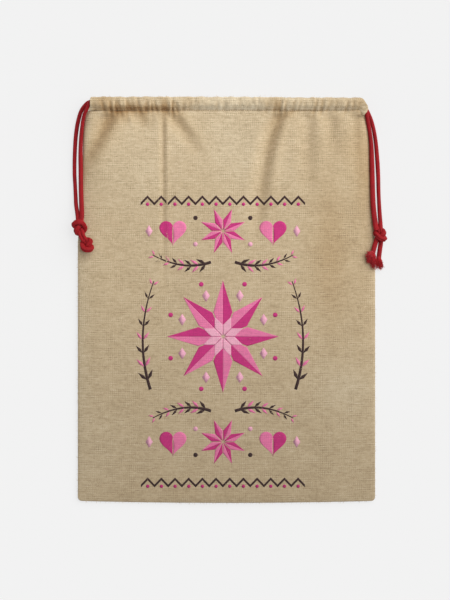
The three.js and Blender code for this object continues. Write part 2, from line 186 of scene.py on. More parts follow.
def named(name: str) -> Piece:
    """Give the object that an operator has just made its name."""
    obj = bpy.context.object
    obj.name = name
    obj.data.name = name
    return obj


def linked(mesh: bpy.types.Mesh) -> Piece:
    """Put a mesh into the scene as an object of the same name."""
    obj = bpy.data.objects.new(mesh.name, mesh)
    bpy.context.scene.collection.objects.link(obj)
    return obj


def joined(name: str, pieces: Sequence[Piece]) -> Piece:
    """Join objects into one piece."""
    select_only(*pieces)
    bpy.ops.object.join()
    return named(name)


def thicken(obj: Piece, thickness: float, offset: float) -> None:
    """Give a sheet its thickness in millimetres, with an offset of 0 on both sides and of -1 below it."""
    select_only(obj)
    modifier = obj.modifiers.new("Thickness", "SOLIDIFY")
    modifier.thickness = thickness * MM
    modifier.offset = offset
    bpy.ops.object.modifier_apply(modifier=modifier.name)


def finish_piece(obj: Piece, material: Material, body: str | None,
                 node: str | None = None) -> Piece:
    """Dress a piece, shade it smooth, let it ride on its body and put it in its node's place.

    Args:
        obj: The finished piece.
        material: What it is made of.
        body: The body that it moves with, or None for a piece that rides on no body.
        node: The node that it stands for, or None where it stands for none.

    Returns:
        The same piece.
    """
    if node is not None:
        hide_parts(node)
    obj.data.materials.clear()
    obj.data.materials.append(material)
    obj.data.polygons.foreach_set("use_smooth", [True] * len(obj.data.polygons))
    obj.data.update()
    if body is not None:
        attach(obj, body)
    obj.data.calc_loop_triangles()
    count = len(obj.data.loop_triangles)
    log.info("%s: %d triangles, %s", obj.name, count, body or "bends between two bodies")
    return obj


def paint_tone_and_shade(mesh: bpy.types.Mesh, tone: Array) -> None:
    """Keep how light the cloth is at each of a mesh's points, painted shade and light included, which its
    finish reads.
    """
    layer = mesh.attributes.new("tone", "FLOAT", "POINT")
    layer.data.foreach_set("value", np.asarray(tone, np.float32).reshape(-1))


def cloth_grid(name: str, points: Array, uvs: Array, tone: Array, keep: Array) -> Piece:
    """Bend a flat grid into a sheet of cloth.

    Args:
        name: The piece's name.
        points: Where each row and column meets, in millimetres, as rows by columns by 3.
        uvs: The same places on the flat cloth, in metres, as rows by columns by 2.
        tone: How light the cloth is there, as rows by columns.
        keep: Which of the quads between them are cloth, as rows - 1 by columns - 1.

    Returns:
        The sheet, one quad thick.
    """
    rows, columns = points.shape[:2]
    select_only()
    bpy.ops.mesh.primitive_grid_add(x_subdivisions=columns - 1, y_subdivisions=rows - 1, size=1.0)
    obj = named(name)
    mesh = obj.data
    mesh.vertices.foreach_set("co", (points * MM).reshape(-1))
    corners = np.empty(len(mesh.loops), np.int32)
    mesh.loops.foreach_get("vertex_index", corners)
    mesh.uv_layers[0].name = "cloth"
    mesh.uv_layers[0].data.foreach_set("uv", uvs.reshape(-1, 2)[corners].reshape(-1))
    paint_tone_and_shade(mesh, tone)
    form = bmesh.new()
    form.from_mesh(mesh)
    form.faces.ensure_lookup_table()
    cut = [form.faces[int(index)] for index in np.flatnonzero(~keep.reshape(-1))]
    bmesh.ops.delete(form, geom=cut, context="FACES")
    form.to_mesh(mesh)
    form.free()
    mesh.update()
    return obj


def ring_quads(rings: Array, sides: int) -> Array:
    """Number the corners of the quads between each of the given rings and the ring after it."""
    base = rings[..., None] * sides
    side = np.arange(sides)
    after = (side + 1) % sides
    quads = (base + side, base + after, base + sides + after, base + sides + side)
    return np.stack(quads, axis=-1).reshape(-1, 4)


def loft(name: str, rings: Array, along: Array, girth: float) -> Piece:
    """Skin a row of closed rings and close both ends with a point.

    Args:
        name: The piece's name.
        rings: The rings' points in millimetres, as rings by sides by 3.
        along: How far along the piece each ring lies, in millimetres.
        girth: The distance round a ring, in millimetres, for the pattern.

    Returns:
        The closed piece, with its UV map in metres.
    """
    count, sides = rings.shape[:2]
    points = np.vstack([rings.reshape(-1, 3), rings[0].mean(axis=0), rings[-1].mean(axis=0)]) * MM
    around = np.arange(sides)
    after = (around + 1) % sides
    last = (count - 1) * sides
    start_cap = np.stack([np.full(sides, count * sides), after, around], axis=-1)
    end_cap = np.stack([np.full(sides, count * sides + 1), last + around, last + after], axis=-1)
    faces = ring_quads(np.arange(count - 1), sides).tolist() + start_cap.tolist() + end_cap.tolist()
    mesh = bpy.data.meshes.new(name)
    mesh.from_pydata(points.tolist(), [], faces)
    turn = np.stack([around, around + 1, around + 1, around], axis=-1) / sides * girth
    turn = np.tile(turn, (count - 1, 1, 1))
    reach = np.repeat(along[:, None, None], sides, axis=1)
    reach = np.concatenate([reach[:-1], reach[:-1], reach[1:], reach[1:]], axis=-1)
    caps = np.zeros((6 * sides, 2))
    caps[3 * sides:, 1] = along[-1]
    layer = mesh.uv_layers.new(name="cord")
    uvs = np.vstack([np.stack([turn, reach], axis=-1).reshape(-1, 2), caps]) * MM
    layer.data.foreach_set("uv", uvs.reshape(-1))
    return linked(mesh)


def threads(name: str, lines: Array, radii: Array, sides: int) -> Piece:
    """Make many thin closed threads as one piece.

    Args:
        name: The piece's name.
        lines: The threads' middle lines in millimetres, as threads by points by 3.
        radii: The radius at each point of a thread, in millimetres, the same for all threads.
        sides: How many sides a thread has.

    Returns:
        The piece.
    """
    count, steps = lines.shape[:2]
    tangents = np.gradient(lines, axis=1)
    tangents /= np.linalg.norm(tangents, axis=2)[..., None] + 1e-9
    upright = np.abs(tangents[..., 2:]) > 0.9
    across = unit(np.cross(tangents, np.where(upright, [1.0, 0.0, 0.0], [0.0, 0.0, 1.0])))
    over = np.cross(tangents, across)
    angle = 2 * np.pi * np.arange(sides) / sides
    ring = across[:, :, None] * np.cos(angle)[:, None] + over[:, :, None] * np.sin(angle)[:, None]
    points = lines[:, :, None] + ring * np.asarray(radii)[None, :, None, None]
    first_ring = (np.arange(count) * steps)[:, None]
    quads = ring_quads(first_ring + np.arange(steps - 1), sides)
    start_caps = first_ring * sides + np.arange(sides)[::-1]
    end_caps = (first_ring + steps - 1) * sides + np.arange(sides)
    mesh = bpy.data.meshes.new(name)
    faces = quads.tolist() + start_caps.tolist() + end_caps.tolist()
    mesh.from_pydata((points.reshape(-1, 3) * MM).tolist(), [], faces)
    return linked(mesh)


# Finishes


@dataclass(frozen=True)
class Value:
    """A number or colour that a material works out at each point, with the usual signs of sums."""

    graph: "Graph"
    socket: bpy.types.NodeSocket

    def __add__(self, other: "Value | float") -> "Value":
        """Add a number."""
        return self.graph.math("ADD", self, other)

    def __sub__(self, other: "Value | float") -> "Value":
        """Take a number away."""
        return self.graph.math("SUBTRACT", self, other)

    def __mul__(self, other: "Value | float") -> "Value":
        """Multiply by a number."""
        return self.graph.math("MULTIPLY", self, other)

    def __truediv__(self, other: "Value | float") -> "Value":
        """Divide by a number."""
        return self.graph.math("DIVIDE", self, other)


class Graph:
    """A material's nodes, with short calls for those that the finishes use."""

    def __init__(self, name: str) -> None:
        """Start a material with only its output and its shader."""
        self.material = bpy.data.materials.new(name)
        self.material.use_nodes = True
        self.tree = self.material.node_tree
        self.shader = self.tree.nodes["Principled BSDF"]

    def fill(self, node: bpy.types.Node, inputs: dict[str | int, object]) -> None:
        """Link a node's inputs to values, or set them to plain numbers and colours."""
        for key, value in inputs.items():
            if isinstance(value, Value):
                self.tree.links.new(value.socket, node.inputs[key])
            else:
                node.inputs[key].default_value = value

    def node(self, kind: str, inputs: dict[str | int, object], output: str | int = 0,
             **settings: object) -> Value:
        """Add a node and read one of its outputs.

        Args:
            kind: The node's kind.
            inputs: The value, number or colour for each input.
            output: The output to read.
            settings: The node's settings.

        Returns:
            What the output gives.
        """
        node = self.tree.nodes.new("ShaderNode" + kind)
        for key, value in settings.items():
            setattr(node, key, value)
        self.fill(node, inputs)
        return Value(self, node.outputs[output])

    def math(self, operation: str, *values: Value | float, clamp: bool = False) -> Value:
        """Work out one number from one or two others."""
        return self.node("Math", dict(enumerate(values)), operation=operation, use_clamp=clamp)

    def map(self, name: str) -> tuple[Value, Value]:
        """Read the place on the piece's own map, in millimetres across and along."""
        place = self.node("UVMap", {}, uv_map=name)
        return tuple(self.node("SeparateXYZ", {0: place}, axis) * 1000.0 for axis in (0, 1))

    def noise(self, place: Value | Sequence[Value | float], detail: float = 2.0, roughness: float = 0.5,
              scale: float = 1.0) -> Value:
        """Read smooth noise, from about 0.2 to 0.8.

        Args:
            place: Where it is read, as a vector or as two or three numbers.
            detail: How many finer layers it has.
            roughness: How strong these are.
            scale: How many lumps there are to a unit.

        Returns:
            The noise.
        """
        if not isinstance(place, Value):
            place = self.node("CombineXYZ", dict(enumerate(place)))
        inputs = {"Vector": place, "Scale": scale, "Detail": detail, "Roughness": roughness}
        return self.node("TexNoise", inputs, "Fac", noise_dimensions="3D")

    def remap(self, value: Value, low: float, high: float, to_low: float, to_high: float) -> Value:
        """Carry a number smoothly from one range into another, and hold it there."""
        inputs = {0: value, 1: low, 2: high, 3: to_low, 4: to_high}
        return self.node("MapRange", inputs, interpolation_type="SMOOTHSTEP", clamp=True)

    def choose(self, share: Value, first: Value, second: Value) -> Value:
        """Take the first number where the share is 0 and the second where it is 1."""
        return self.node("Mix", {0: share, 2: first, 3: second}, data_type="FLOAT")

    def blend(self, share: Value | float, first: Value, second: Value | tuple, mode: str = "MIX") -> Value:
        """Mix two colours."""
        inputs = {0: share, 6: first, 7: second}
        return self.node("Mix", inputs, 2, data_type="RGBA", blend_type=mode, clamp_factor=True)

    def ramp(self, share: Value, stops: dict[float, tuple[float, ...]]) -> Value:
        """Read a colour from a row of stops, each a place and its colour."""
        result = self.node("ValToRGB", {0: share})
        elements = result.socket.node.color_ramp.elements
        while len(elements) < len(stops):
            elements.new(1.0)
        for element, (place, colour) in zip(elements, stops.items()):
            element.position = place
            element.color = colour
        return result

    def finished(self, inputs: dict[str, object], strength: float, depth: float, height: Value) -> Material:
        """Fill the shader, and raise its surface by a height of 0 to 1 times a depth in millimetres."""
        bump = self.node("Bump", {"Strength": strength, "Distance": depth * MM, "Height": height})
        self.fill(self.shader, inputs | {"Normal": bump})
        return self.material


def linear(red: int, green: int, blue: int, share: float = 1.0) -> tuple[float, float, float, float]:
    """Turn a screen colour of 0 to 255 into the plain light that it stands for, times a share."""
    levels = [level / 255 for level in (red, green, blue)]
    lights = [level / 12.92 if level <= 0.04045 else ((level + 0.055) / 1.055) ** 2.4 for level in levels]
    return (*(light * share for light in lights), 1.0)


@dataclass(frozen=True)
class JuteFinish:
    """Plain woven jute: round uneven threads over and under each other, with slubs along the weft."""

    warp_pitch: float = 1.75
    weft_pitch: float = 1.9
    warp_wander: float = 1.1
    weft_wander: float = 0.7
    warp_slub: float = 26.0
    weft_slub: float = 15.0
    warp_crown: float = 0.46
    weft_crown: float = 0.66
    crossing: float = 0.3
    thread_stride: float = 7.618
    dark: Colour = (146, 122, 88)
    middle: Colour = (204, 182, 147)
    light: Colour = (230, 213, 182)
    # The hollows between threads are painted with this darker colour: painted shade.
    gap: Colour = (112, 88, 60)
    relief: float = 0.4
    # Painted shade that darkens the cloth towards the bottom of the sack and painted light that brightens its
    # top, as shares of its colour.
    bottom_painted_shade: float = 0.72
    top_painted_light: float = 1.07
    # How much browner green and blue turn where the tone attribute darkens the cloth, mostly painted shade.
    shade_browning: Pair = (1.5, 2.2)

    def thread(self, graph: Graph, position: Value, number: Value, run: Value, seed: float,
               slub_reach: float) -> tuple[Value, Value]:
        """Draw one set of threads.

        Args:
            graph: The material's nodes.
            position: The way across the threads, counted in threads.
            number: The number of the thread there.
            run: The way along the threads, in millimetres.
            seed: The place of this set's own noise.
            slub_reach: How long its thick places are, in millimetres.

        Returns:
            The round height of the thread, from 0 to 1, and the noise of its thick places.
        """
        slub = graph.noise((run / slub_reach, number * self.thread_stride, seed), 1.5)
        ratio = (graph.math("FRACT", position) - 0.5) / graph.remap(slub, 0.35, 0.72, 0.37, 0.62)
        body = graph.math("SUBTRACT", 1.0, ratio * ratio, clamp=True)
        return graph.math("SQRT", body), slub

    def lift(self, graph: Graph, position: Value, number: Value, reach: float) -> Value:
        """Raise every second thread where it passes over the other set, and lower it where it goes under."""
        wave = graph.math("SINE", position * math.pi)
        return wave * (graph.math("PINGPONG", number, 1.0) * -2.0 + 1.0) * reach

    def weave(self, graph: Graph, across: Value, up: Value) -> tuple[Value, Value]:
        """Draw the weave on the flat cloth, in millimetres across and up: its height and its tone."""
        warp_wander = graph.noise((across / 9.0, up / 34.0), 1.0) - 0.5
        weft_wander = graph.noise((across / 40.0, up / 16.0, 5.0), 1.0) - 0.5
        warp = across / self.warp_pitch + warp_wander * self.warp_wander
        weft = up / self.weft_pitch + weft_wander * self.weft_wander
        warp_number = graph.math("FLOOR", warp)
        weft_number = graph.math("FLOOR", weft)
        weft_body, weft_slub = self.thread(graph, weft, weft_number, across, 1.29, self.weft_slub)
        warp_body, _ = self.thread(graph, warp, warp_number, up, 9.43, self.warp_slub)
        weft_height = self.lift(graph, warp, weft_number, self.crossing) + weft_body * self.weft_crown
        warp_height = self.lift(graph, weft, warp_number, -self.crossing) + warp_body * self.warp_crown
        long_streak, short_streak = (
            graph.noise((across / reach, weft_number * self.thread_stride, seed), 1.0)
            for reach, seed in ((8.0, 3.37), (2.4, 8.41)))
        pair_share = graph.remap(graph.noise((across / 45.0, up / 30.0, 21.0)), 0.4, 0.62, 0.25, 1.0)
        pairs = pair_share * (graph.math("PINGPONG", weft_number, 1.0) * 0.16 - 0.08)
        weft_tone = weft_slub * 0.33 + short_streak * 0.32 + long_streak * 0.34 + pairs
        warp_noise = graph.noise((warp_number * 4.618, up / 9.0, 14.37)) - 0.5
        warp_tone = warp_noise * 0.36 + long_streak * 0.17 + 0.4
        weft_on_top = graph.math("GREATER_THAN", weft_height, warp_height)
        broad = (graph.noise((across / 60.0, up / 38.0, 2.0), 1.0) - 0.5) * 0.14
        tone = graph.choose(weft_on_top, warp_tone, weft_tone) + broad
        return graph.math("MAXIMUM", weft_height, warp_height), tone

    def material(self, name: str, ink: Colour | None = None) -> Material:
        """Make the cloth's material, soaked with an ink of the given screen colour or bare."""
        graph = Graph(name)
        across, up = graph.map("cloth")
        height, tone = self.weave(graph, across, up)
        if ink is None:
            stops = {0.18: linear(*self.dark), 0.5: linear(*self.middle), 0.84: linear(*self.light)}
            hollow_shade = linear(*self.gap)
        else:
            stops = {0.15: linear(*ink, 0.66), 0.5: linear(*ink), 0.85: linear(*ink, 1.3)}
            hollow_shade = linear(*ink, 0.4)
        # Painted shade: the lower the weave, the more of the hollows' darker colour.
        depth = graph.remap(height, -0.15, 0.45, 0.75, 0.0)
        woven = graph.blend(depth, graph.ramp(tone, stops), hollow_shade)
        # Painted shade towards the bottom of the sack and painted light towards its top.
        shade = (graph.remap(up, 20.0, 560.0, self.bottom_painted_shade, 1.0)
                 + graph.remap(up, 480.0, 660.0, 0.0, self.top_painted_light - 1.0))
        # The tone attribute holds lighter and darker broad patches together with painted shade and painted
        # light along the folds, creases and edges; darker places turn browner.
        tone_and_painted_shade = graph.node("Attribute", {}, "Fac", attribute_name="tone")
        painted_shade_tints = [shade * graph.math("POWER", tone_and_painted_shade, power) for power in (1.0, *self.shade_browning)]
        colour = graph.blend(1.0, woven, graph.node("CombineColor", dict(enumerate(painted_shade_tints))), "MULTIPLY")
        inputs = {"Base Color": colour, "Roughness": graph.remap(height, -0.2, 0.9, 0.98, 0.84),
                  "Specular IOR Level": 0.25, "Sheen Weight": 0.12, "Sheen Roughness": 0.6}
        fibres = graph.noise((across * 5.2, up * 5.2), 2.0) * 0.35
        return graph.finished(inputs, 0.85, self.relief, height + fibres)


@dataclass(frozen=True)
class CordFinish:
    """A round braid of red yarn: two sets of yarns that cross at a slant, over and under."""

    carriers: int = 8
    stitch_length: float = 5.6
    diameter: float = 7.0
    strands: int = 8
    ridge: float = 0.7
    relief_depth: float = 0.45
    # The darkest yarn colour, which also paints shade into the braid's grooves.
    dark: Colour = (92, 4, 12)
    middle: Colour = (166, 10, 22)
    light: Colour = (190, 22, 32)
    tint: Colour = (255, 120, 120)

    def relief(self, turn: Array, along: Array) -> Array:
        """Find how far the braid stands out, from 0 to 1, at a part of a turn and a distance along."""
        first, second = (np.sin(np.pi * (turn * self.carriers + sign * along / self.stitch_length * 2))
                         for sign in (1, -1))
        over = first * second
        return np.where(over > 0, np.abs(first), np.abs(second)) ** self.ridge * 0.8 + 0.2 * np.abs(over)

    def material(self, name: str) -> Material:
        """Make the cord's material, which follows the map that a cord's mesh has along it."""
        graph = Graph(name)
        around, along = graph.map("cord")
        turn = around * (self.carriers / (math.pi * self.diameter))
        run = along * (2.0 / self.stitch_length)
        slants = (turn + run, turn - run)
        waves = [graph.math("SINE", slant * math.pi) for slant in slants]
        over = graph.math("GREATER_THAN", waves[0] * waves[1], 0.0)
        ridges = [graph.math("POWER", graph.math("ABSOLUTE", wave), self.ridge) for wave in waves]
        height = graph.choose(over, ridges[1], ridges[0])
        strands = [graph.math("SINE", slant * (math.pi * self.strands)) for slant in slants]
        yarn = graph.choose(over, strands[0], strands[1])
        fibre = graph.noise((around * 2.6, along * 0.7), 3.0, 0.65)
        tone = (graph.noise((around * 0.03, along * 0.06), 2.0) + fibre) * 0.5
        stops = {0.2: linear(*self.dark), 0.5: linear(*self.middle), 0.85: linear(*self.light)}
        # Painted shade: the braid's grooves take on the dark colour.
        groove_shade = graph.remap(height, 0.15, 0.75, 0.55, 0.0)
        colour = graph.blend(groove_shade, graph.ramp(tone, stops), linear(*self.dark))
        inputs = {"Base Color": colour, "Roughness": 0.62, "Specular IOR Level": 0.3,
                  "Sheen Weight": 0.06, "Sheen Roughness": 0.4, "Sheen Tint": linear(*self.tint)}
        return graph.finished(inputs, 0.8, self.relief_depth, height + fibre * 0.35 + yarn * 0.09)


@dataclass(frozen=True)
class ThreadFinish:
    """Twisted sewing thread, on Object coordinates because each stitch is tiny."""

    dark: Colour
    light: Colour
    grain: float = 2200.0

    def material(self, name: str) -> Material:
        """Make the thread's material."""
        graph = Graph(name)
        grain = graph.noise(graph.node("TexCoord", {}, "Object"), 2.0, 0.6, self.grain)
        colour = graph.ramp(grain, {0.25: linear(*self.dark), 0.75: linear(*self.light)})
        inputs = {"Base Color": colour, "Roughness": 0.85, "Sheen Weight": 0.15}
        return graph.finished(inputs, 0.6, 0.15, grain)


@dataclass(frozen=True)
class FloorFinish:
    """The plain pale floor that the sack lies on, which keeps a faint shadow."""

    colour: Colour = (242, 242, 242)
    own_light: float = 0.8

    def material(self) -> Material:
        """Make the floor's material, part of which shines evenly where it is seen."""
        graph = Graph("floor_finish")
        pale = linear(*self.colour)
        graph.fill(graph.shader, {"Base Color": pale, "Roughness": 1.0, "Specular IOR Level": 0.0})
        camera, mirrored, through = (graph.node("LightPath", {}, f"Is {kind} Ray")
                                     for kind in ("Camera", "Glossy", "Transmission"))
        seen = graph.math("MAXIMUM", camera, graph.math("MAXIMUM", mirrored, through))
        shining = graph.node("Emission", {"Color": pale, "Strength": 1.0})
        lit = Value(graph, graph.shader.outputs[0])
        mixed = graph.node("MixShader", {0: seen * self.own_light, 1: lit, 2: shining})
        graph.fill(graph.tree.nodes["Material Output"], {"Surface": mixed})
        return graph.material


# The form of the sack


@dataclass(frozen=True)
class Fold:
    """A soft fold that runs down from the hem."""

    at: float
    lean: float
    depth: float
    width: float
    reach: float
    # How much darker the cloth is painted beside the fold's valley: painted shade.
    painted_shade: float = 0.1
    curl: float = 1.0

    def beside(self, x: Array, below: Array) -> tuple[Array, Array]:
        """Find how many times its width a place lies beside the fold, and how strong it is there."""
        share = np.clip(below / self.reach, 0.0, 1.0)
        return (x - self.at - self.lean * share ** self.curl) / self.width, 1 - share ** 1.5


@dataclass(frozen=True)
class Shade:
    """A broad patch of the cloth that is a little lighter or darker than the rest, in places painted light
    and in places painted shade.
    """

    x: float
    y: float
    reach_x: float
    reach_y: float
    amount: float

    def tone(self, x: Array, y: Array) -> Array:
        """Find how much lighter the patch makes a place."""
        return self.amount * bell((x - self.x) / self.reach_x) * bell((y - self.y) / self.reach_y)


@dataclass(frozen=True)
class Crease:
    """A small pinched crease of the gathered hem."""

    at: float
    depth: float
    half_width: float
    lean: float
    reach: float

    def beside(self, x: Array, past: Array, above: Array, fading: float,
               widening: float = 0.0) -> tuple[Array, Array]:
        """Find how many half widths a place lies beside the crease, and how strong it is there.

        Args:
            x: The place across.
            past: Its distance past the stitching, which is negative below it.
            above: How strong creases are above the stitching.
            fading: How fast this one fades below it.
            widening: How much wider it becomes for each millimetre below it.

        Returns:
            The distance and the strength.
        """
        wide = self.half_width * (1.0 + np.maximum(-past, 0.0) * widening)
        below = np.exp(np.minimum(past, 0.0) / self.reach * fading)
        return (x - self.at - self.lean * past) / wide, np.where(past > 0, above, below)


@dataclass
class Gathers:
    """The small creases that the drawn-up hem makes in the cloth, on both sides of its stitching."""

    mouth_half: float = 228.0
    least_spacing: float = 6.5
    most_spacing: float = 15.0
    deepest: float = 2.9
    stitch_pitch: float = 3.9
    pinch_depth: float = 0.6
    pinch_width: float = 2.4
    deep_pinch: float = 0.7
    deep_pinch_at: float = -146.0
    deep_pinch_reach: float = 62.0
    busy: tuple[Place, ...] = (
        (-185.0, 28.0, 0.9), (-140.0, 26.0, 0.7), (-92.0, 16.0, 1.0), (88.0, 22.0, 0.95), (152.0, 15.0, 0.8),
        (204.0, 16.0, 0.5),
    )
    # Painted shade in a band under the hem's roll, darkest where the stitching is drawn in deepest, painted
    # light on the rest of the hem, and painted shade in the creases.
    band: float = 0.3
    band_at: float = 4.5
    band_width: float = 5.0
    band_painted_light: float = 0.3
    hem_painted_light: float = 0.07
    crease_painted_shade: float = 0.3
    most_painted_shade: float = 0.55
    seed: int = 41
    creases: list[Crease] = field(default_factory=list)

    def __post_init__(self) -> None:
        """Place the creases by a fixed random draw, deeper where the hem is busy."""
        draw = np.random.default_rng(self.seed)
        x = -self.mouth_half + 7.0
        while x < self.mouth_half - 6.0:
            busy = sum(amount * float(bell((x - at) / reach)) for at, reach, amount in self.busy)
            strength = min(busy, 1.0)
            depth = self.deepest * (0.22 + 0.78 * strength) * draw.uniform(0.55, 1.0)
            lean = 0.28 * (x / self.mouth_half) + draw.uniform(-0.16, 0.2)
            reach = 9.0 + 22.0 * strength * draw.uniform(0.4, 1.0)
            self.creases.append(Crease(x, depth, draw.uniform(1.8, 3.4), lean, reach))
            x += draw.uniform(self.least_spacing, self.most_spacing) * (1.25 - 0.5 * strength)

    def pulled_in(self, x: Array) -> Array:
        """Tell where the stitching is drawn in deepest, from 0 to 1."""
        return np.exp(-((x - self.deep_pinch_at) / self.deep_pinch_reach) ** 4)

    def painted_shade(self, x: Array, past: Array) -> Array:
        """Find the painted shade in the creases and in a band under the hem's roll, darkest where the
        stitching is drawn in deepest, less the painted light on the rest of the hem.
        """
        x, past = np.broadcast_arrays(np.asarray(x, float), np.asarray(past, float))
        total = np.zeros(x.shape)
        above = 1.0 - smoothstep(past, 8.0, 24.0)
        for crease in self.creases:
            offset, strength = crease.beside(x, past, above, 3.0)
            total += self.crease_painted_shade * crease.depth / self.deepest * strength * bell(offset)
        deep = self.pulled_in(x)
        reach = np.where(past > self.band_at, self.band_width, self.band_width * 1.3)
        total += self.band * (deep - self.band_painted_light * (1 - deep)) * bell((past - self.band_at) / reach)
        total -= self.hem_painted_light * (1 - deep) * smoothstep(past, 0.5, 4.0)
        return np.minimum(total, self.most_painted_shade)

    def relief(self, x: Array, past: Array) -> Array:
        """Find how far the creases and the stitching draw the cloth in.

        Args:
            x: The place across.
            past: The distance along the cloth past the stitching, which is negative below it.

        Returns:
            The height off the plain cloth, in millimetres.
        """
        x, past = np.broadcast_arrays(np.asarray(x, float), np.asarray(past, float))
        total = np.zeros(x.shape)
        above = 1.0 - smoothstep(past, 6.0, 27.0)
        for crease in self.creases:
            offset, strength = crease.beside(x, past, above, 2.2, 1 / 40)
            crest = 0.35 * bell((np.abs(offset) - 1.9) / 0.8)
            total -= crease.depth * (bell(offset) - crest) * strength
        stitch = 0.75 + 0.25 * np.cos(2 * np.pi * x / self.stitch_pitch)
        pinch = self.pinch_depth + self.deep_pinch * self.pulled_in(x)
        total -= pinch * stitch * bell(past / self.pinch_width)
        return total * smoothstep(self.mouth_half + 8.0 - np.abs(x), 0.0, 10.0)


@dataclass
class SackForm:
    """The outline and surfaces of the flat sack, which its cloth, stitches and print all follow."""

    width: float = 500.0
    mouth_width: float = 456.0
    bottom: float = -341.0
    hem_line: float = 318.0
    top: float = 341.0
    cloth: float = 1.0
    bottom_bow: float = 3.4
    corner_radius: float = 6.0
    hem_side_step: float = 3.0
    gather_height: float = 223.0
    gather_taper: float = 0.75
    gather_flare: float = 8.0
    back_level: float = 0.55
    back_unevenness: float = 0.12
    front_rim: float = 4.55
    front_level: float = 20.0
    crown_power: float = 0.4
    shoulder_sharpness: float = 30.0
    fold_start: float = 14.0
    calm_edge: float = 30.0
    corner_rise: float = 5.0
    corner_reach: float = 9.0
    flares: tuple[Place, Place] = ((4.6, 300.0, 48.0), (3.9, 284.0, 34.0))
    folds: tuple[Fold, ...] = (
        Fold(-194, -66, 7.8, 16, 125, 0.26),
        Fold(-176, 6, 2.6, 8, 26, 0.16),
        Fold(-147, 6, 2.6, 9, 30, 0.18),
        Fold(-107, 2, 2.2, 5, 330, 0.09),
        Fold(-97, 54, 3.8, 13, 80, 0.14),
        Fold(132, -83.5, 7.6, 13, 225, 0.14, 0.2),
        Fold(135, 2, 3.2, 13, 160, 0.04),
        Fold(172, 8, 2.6, 12, 90, 0.04),
        Fold(216, 4, 1.8, 8, 150, 0.05),
    )
    # Several of these patches are painted shade and painted light, such as the darker band along the right
    # edge and the lighter band along the left edge; the others make the cloth lighter or darker in broad
    # places.
    shades: tuple[Shade, ...] = (
        Shade(14, 262, 62, 70, 0.08),
        Shade(-150, 225, 55, 60, 0.05),
        Shade(-244, -60, 14, 260, 0.05),
        Shade(174, 76, 34, 120, -0.15),
        Shade(202, 252, 24, 30, -0.05),
        Shade(232, 120, 20, 200, -0.06),
        Shade(238, 230, 22, 75, -0.12),
        Shade(200, -150, 50, 40, 0.08),
        Shade(-215, -260, 30, 90, 0.03),
        Shade(-20, -330, 190, 30, -0.02),
    )
    gathers: Gathers = field(default_factory=Gathers)

    @classmethod
    def from_frame(cls) -> "SackForm":
        """Take the sack's outer sizes from the nodes that its cloth stands for."""
        panel_low, panel_high = np.array(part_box("front_panel")) / MM
        hem_low, hem_high = np.array(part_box("front_hem")) / MM
        return cls(width=panel_high[0] - panel_low[0], mouth_width=hem_high[0] - hem_low[0],
                   bottom=panel_low[1], hem_line=hem_low[1], top=hem_high[1])

    def gathered(self, y: Array) -> Array:
        """Tell how far the gathering has drawn a height in, from 0 to 1 at the hem."""
        return np.clip((y - (self.hem_line - self.gather_height)) / self.gather_height, 0.0, 1.0)

    def side_edge(self, y: Array) -> Array:
        """Find half the sack's width at a height."""
        share = self.gathered(y)
        drawn = self.gather_taper * share + (1 - self.gather_taper) * share ** self.gather_flare
        return self.width / 2 - (self.width / 2 - self.mouth_width / 2 - self.hem_side_step) * drawn

    def bottom_edge(self, x: Array) -> Array:
        """Find the height of the bottom edge at a place across."""
        return self.bottom + self.bottom_bow * (2 * x / self.width) ** 2

    def bulge(self, y: Array, side: Side) -> Array:
        """Find how far an edge stands out past the plain outline just below the hem."""
        size, at, reach = self.flares[side is Side.RIGHT]
        return size * bell((y - at) / reach)

    def row_half_width(self, row: Array) -> Array:
        """Find half the width, round corners included, a given distance above the bottom."""
        into_corner = np.maximum(self.corner_radius - row, 0.0)
        cut = self.corner_radius - np.sqrt(self.corner_radius ** 2 - into_corner ** 2)
        return self.side_edge(self.bottom + row) - cut

    def fold_relief(self, x: Array, y: Array) -> Array:
        """Find how far the folds stand off the plain crown: down in the valley, up on the ridge beside it."""
        below = self.hem_line - y
        ease_in = smoothstep(below, 0.0, self.fold_start)
        relief = np.zeros(np.broadcast(x, y).shape)
        for fold in self.folds:
            offset, strength = fold.beside(x, below)
            ridge = 0.5 * bell((offset - 1.4) / 0.85) + 0.15 * bell((offset + 1.6) / 0.9)
            relief += fold.depth * strength * ease_in * (ridge - bell(offset))
        return relief

    def tone(self, x: Array, y: Array) -> Array:
        """Find how light the front cloth is: lighter and darker broad patches, partly painted light and
        shade, and browner painted shade along its folds and the hem's creases.
        """
        tone = np.ones(np.broadcast(x, y).shape)
        for shade in self.shades:
            tone += shade.tone(x, y)
        # Painted shade along each fold, and below it the painted shade of the hem's creases.
        for fold in self.folds:
            offset, strength = fold.beside(x, self.hem_line - y)
            tone -= fold.painted_shade * strength * bell((offset - 0.5) / 0.95)
        return tone - self.gathers.painted_shade(x, y - self.hem_line)

    def sway(self, x: Array, y: Array) -> Array:
        """Find the slight unevenness that cloth has when it is laid down by hand."""
        slow = np.sin(x / 61.0 + 0.9 * np.sin(y / 83.0)) * np.cos(y / 97.0 + 0.7 * np.sin(x / 71.0))
        quick = np.sin(x / 23.0 + 1.7 * np.sin(y / 37.0 + 1.0)) * np.sin(y / 41.0 + 0.8 * np.sin(x / 29.0))
        return 0.55 * slow + 0.22 * quick

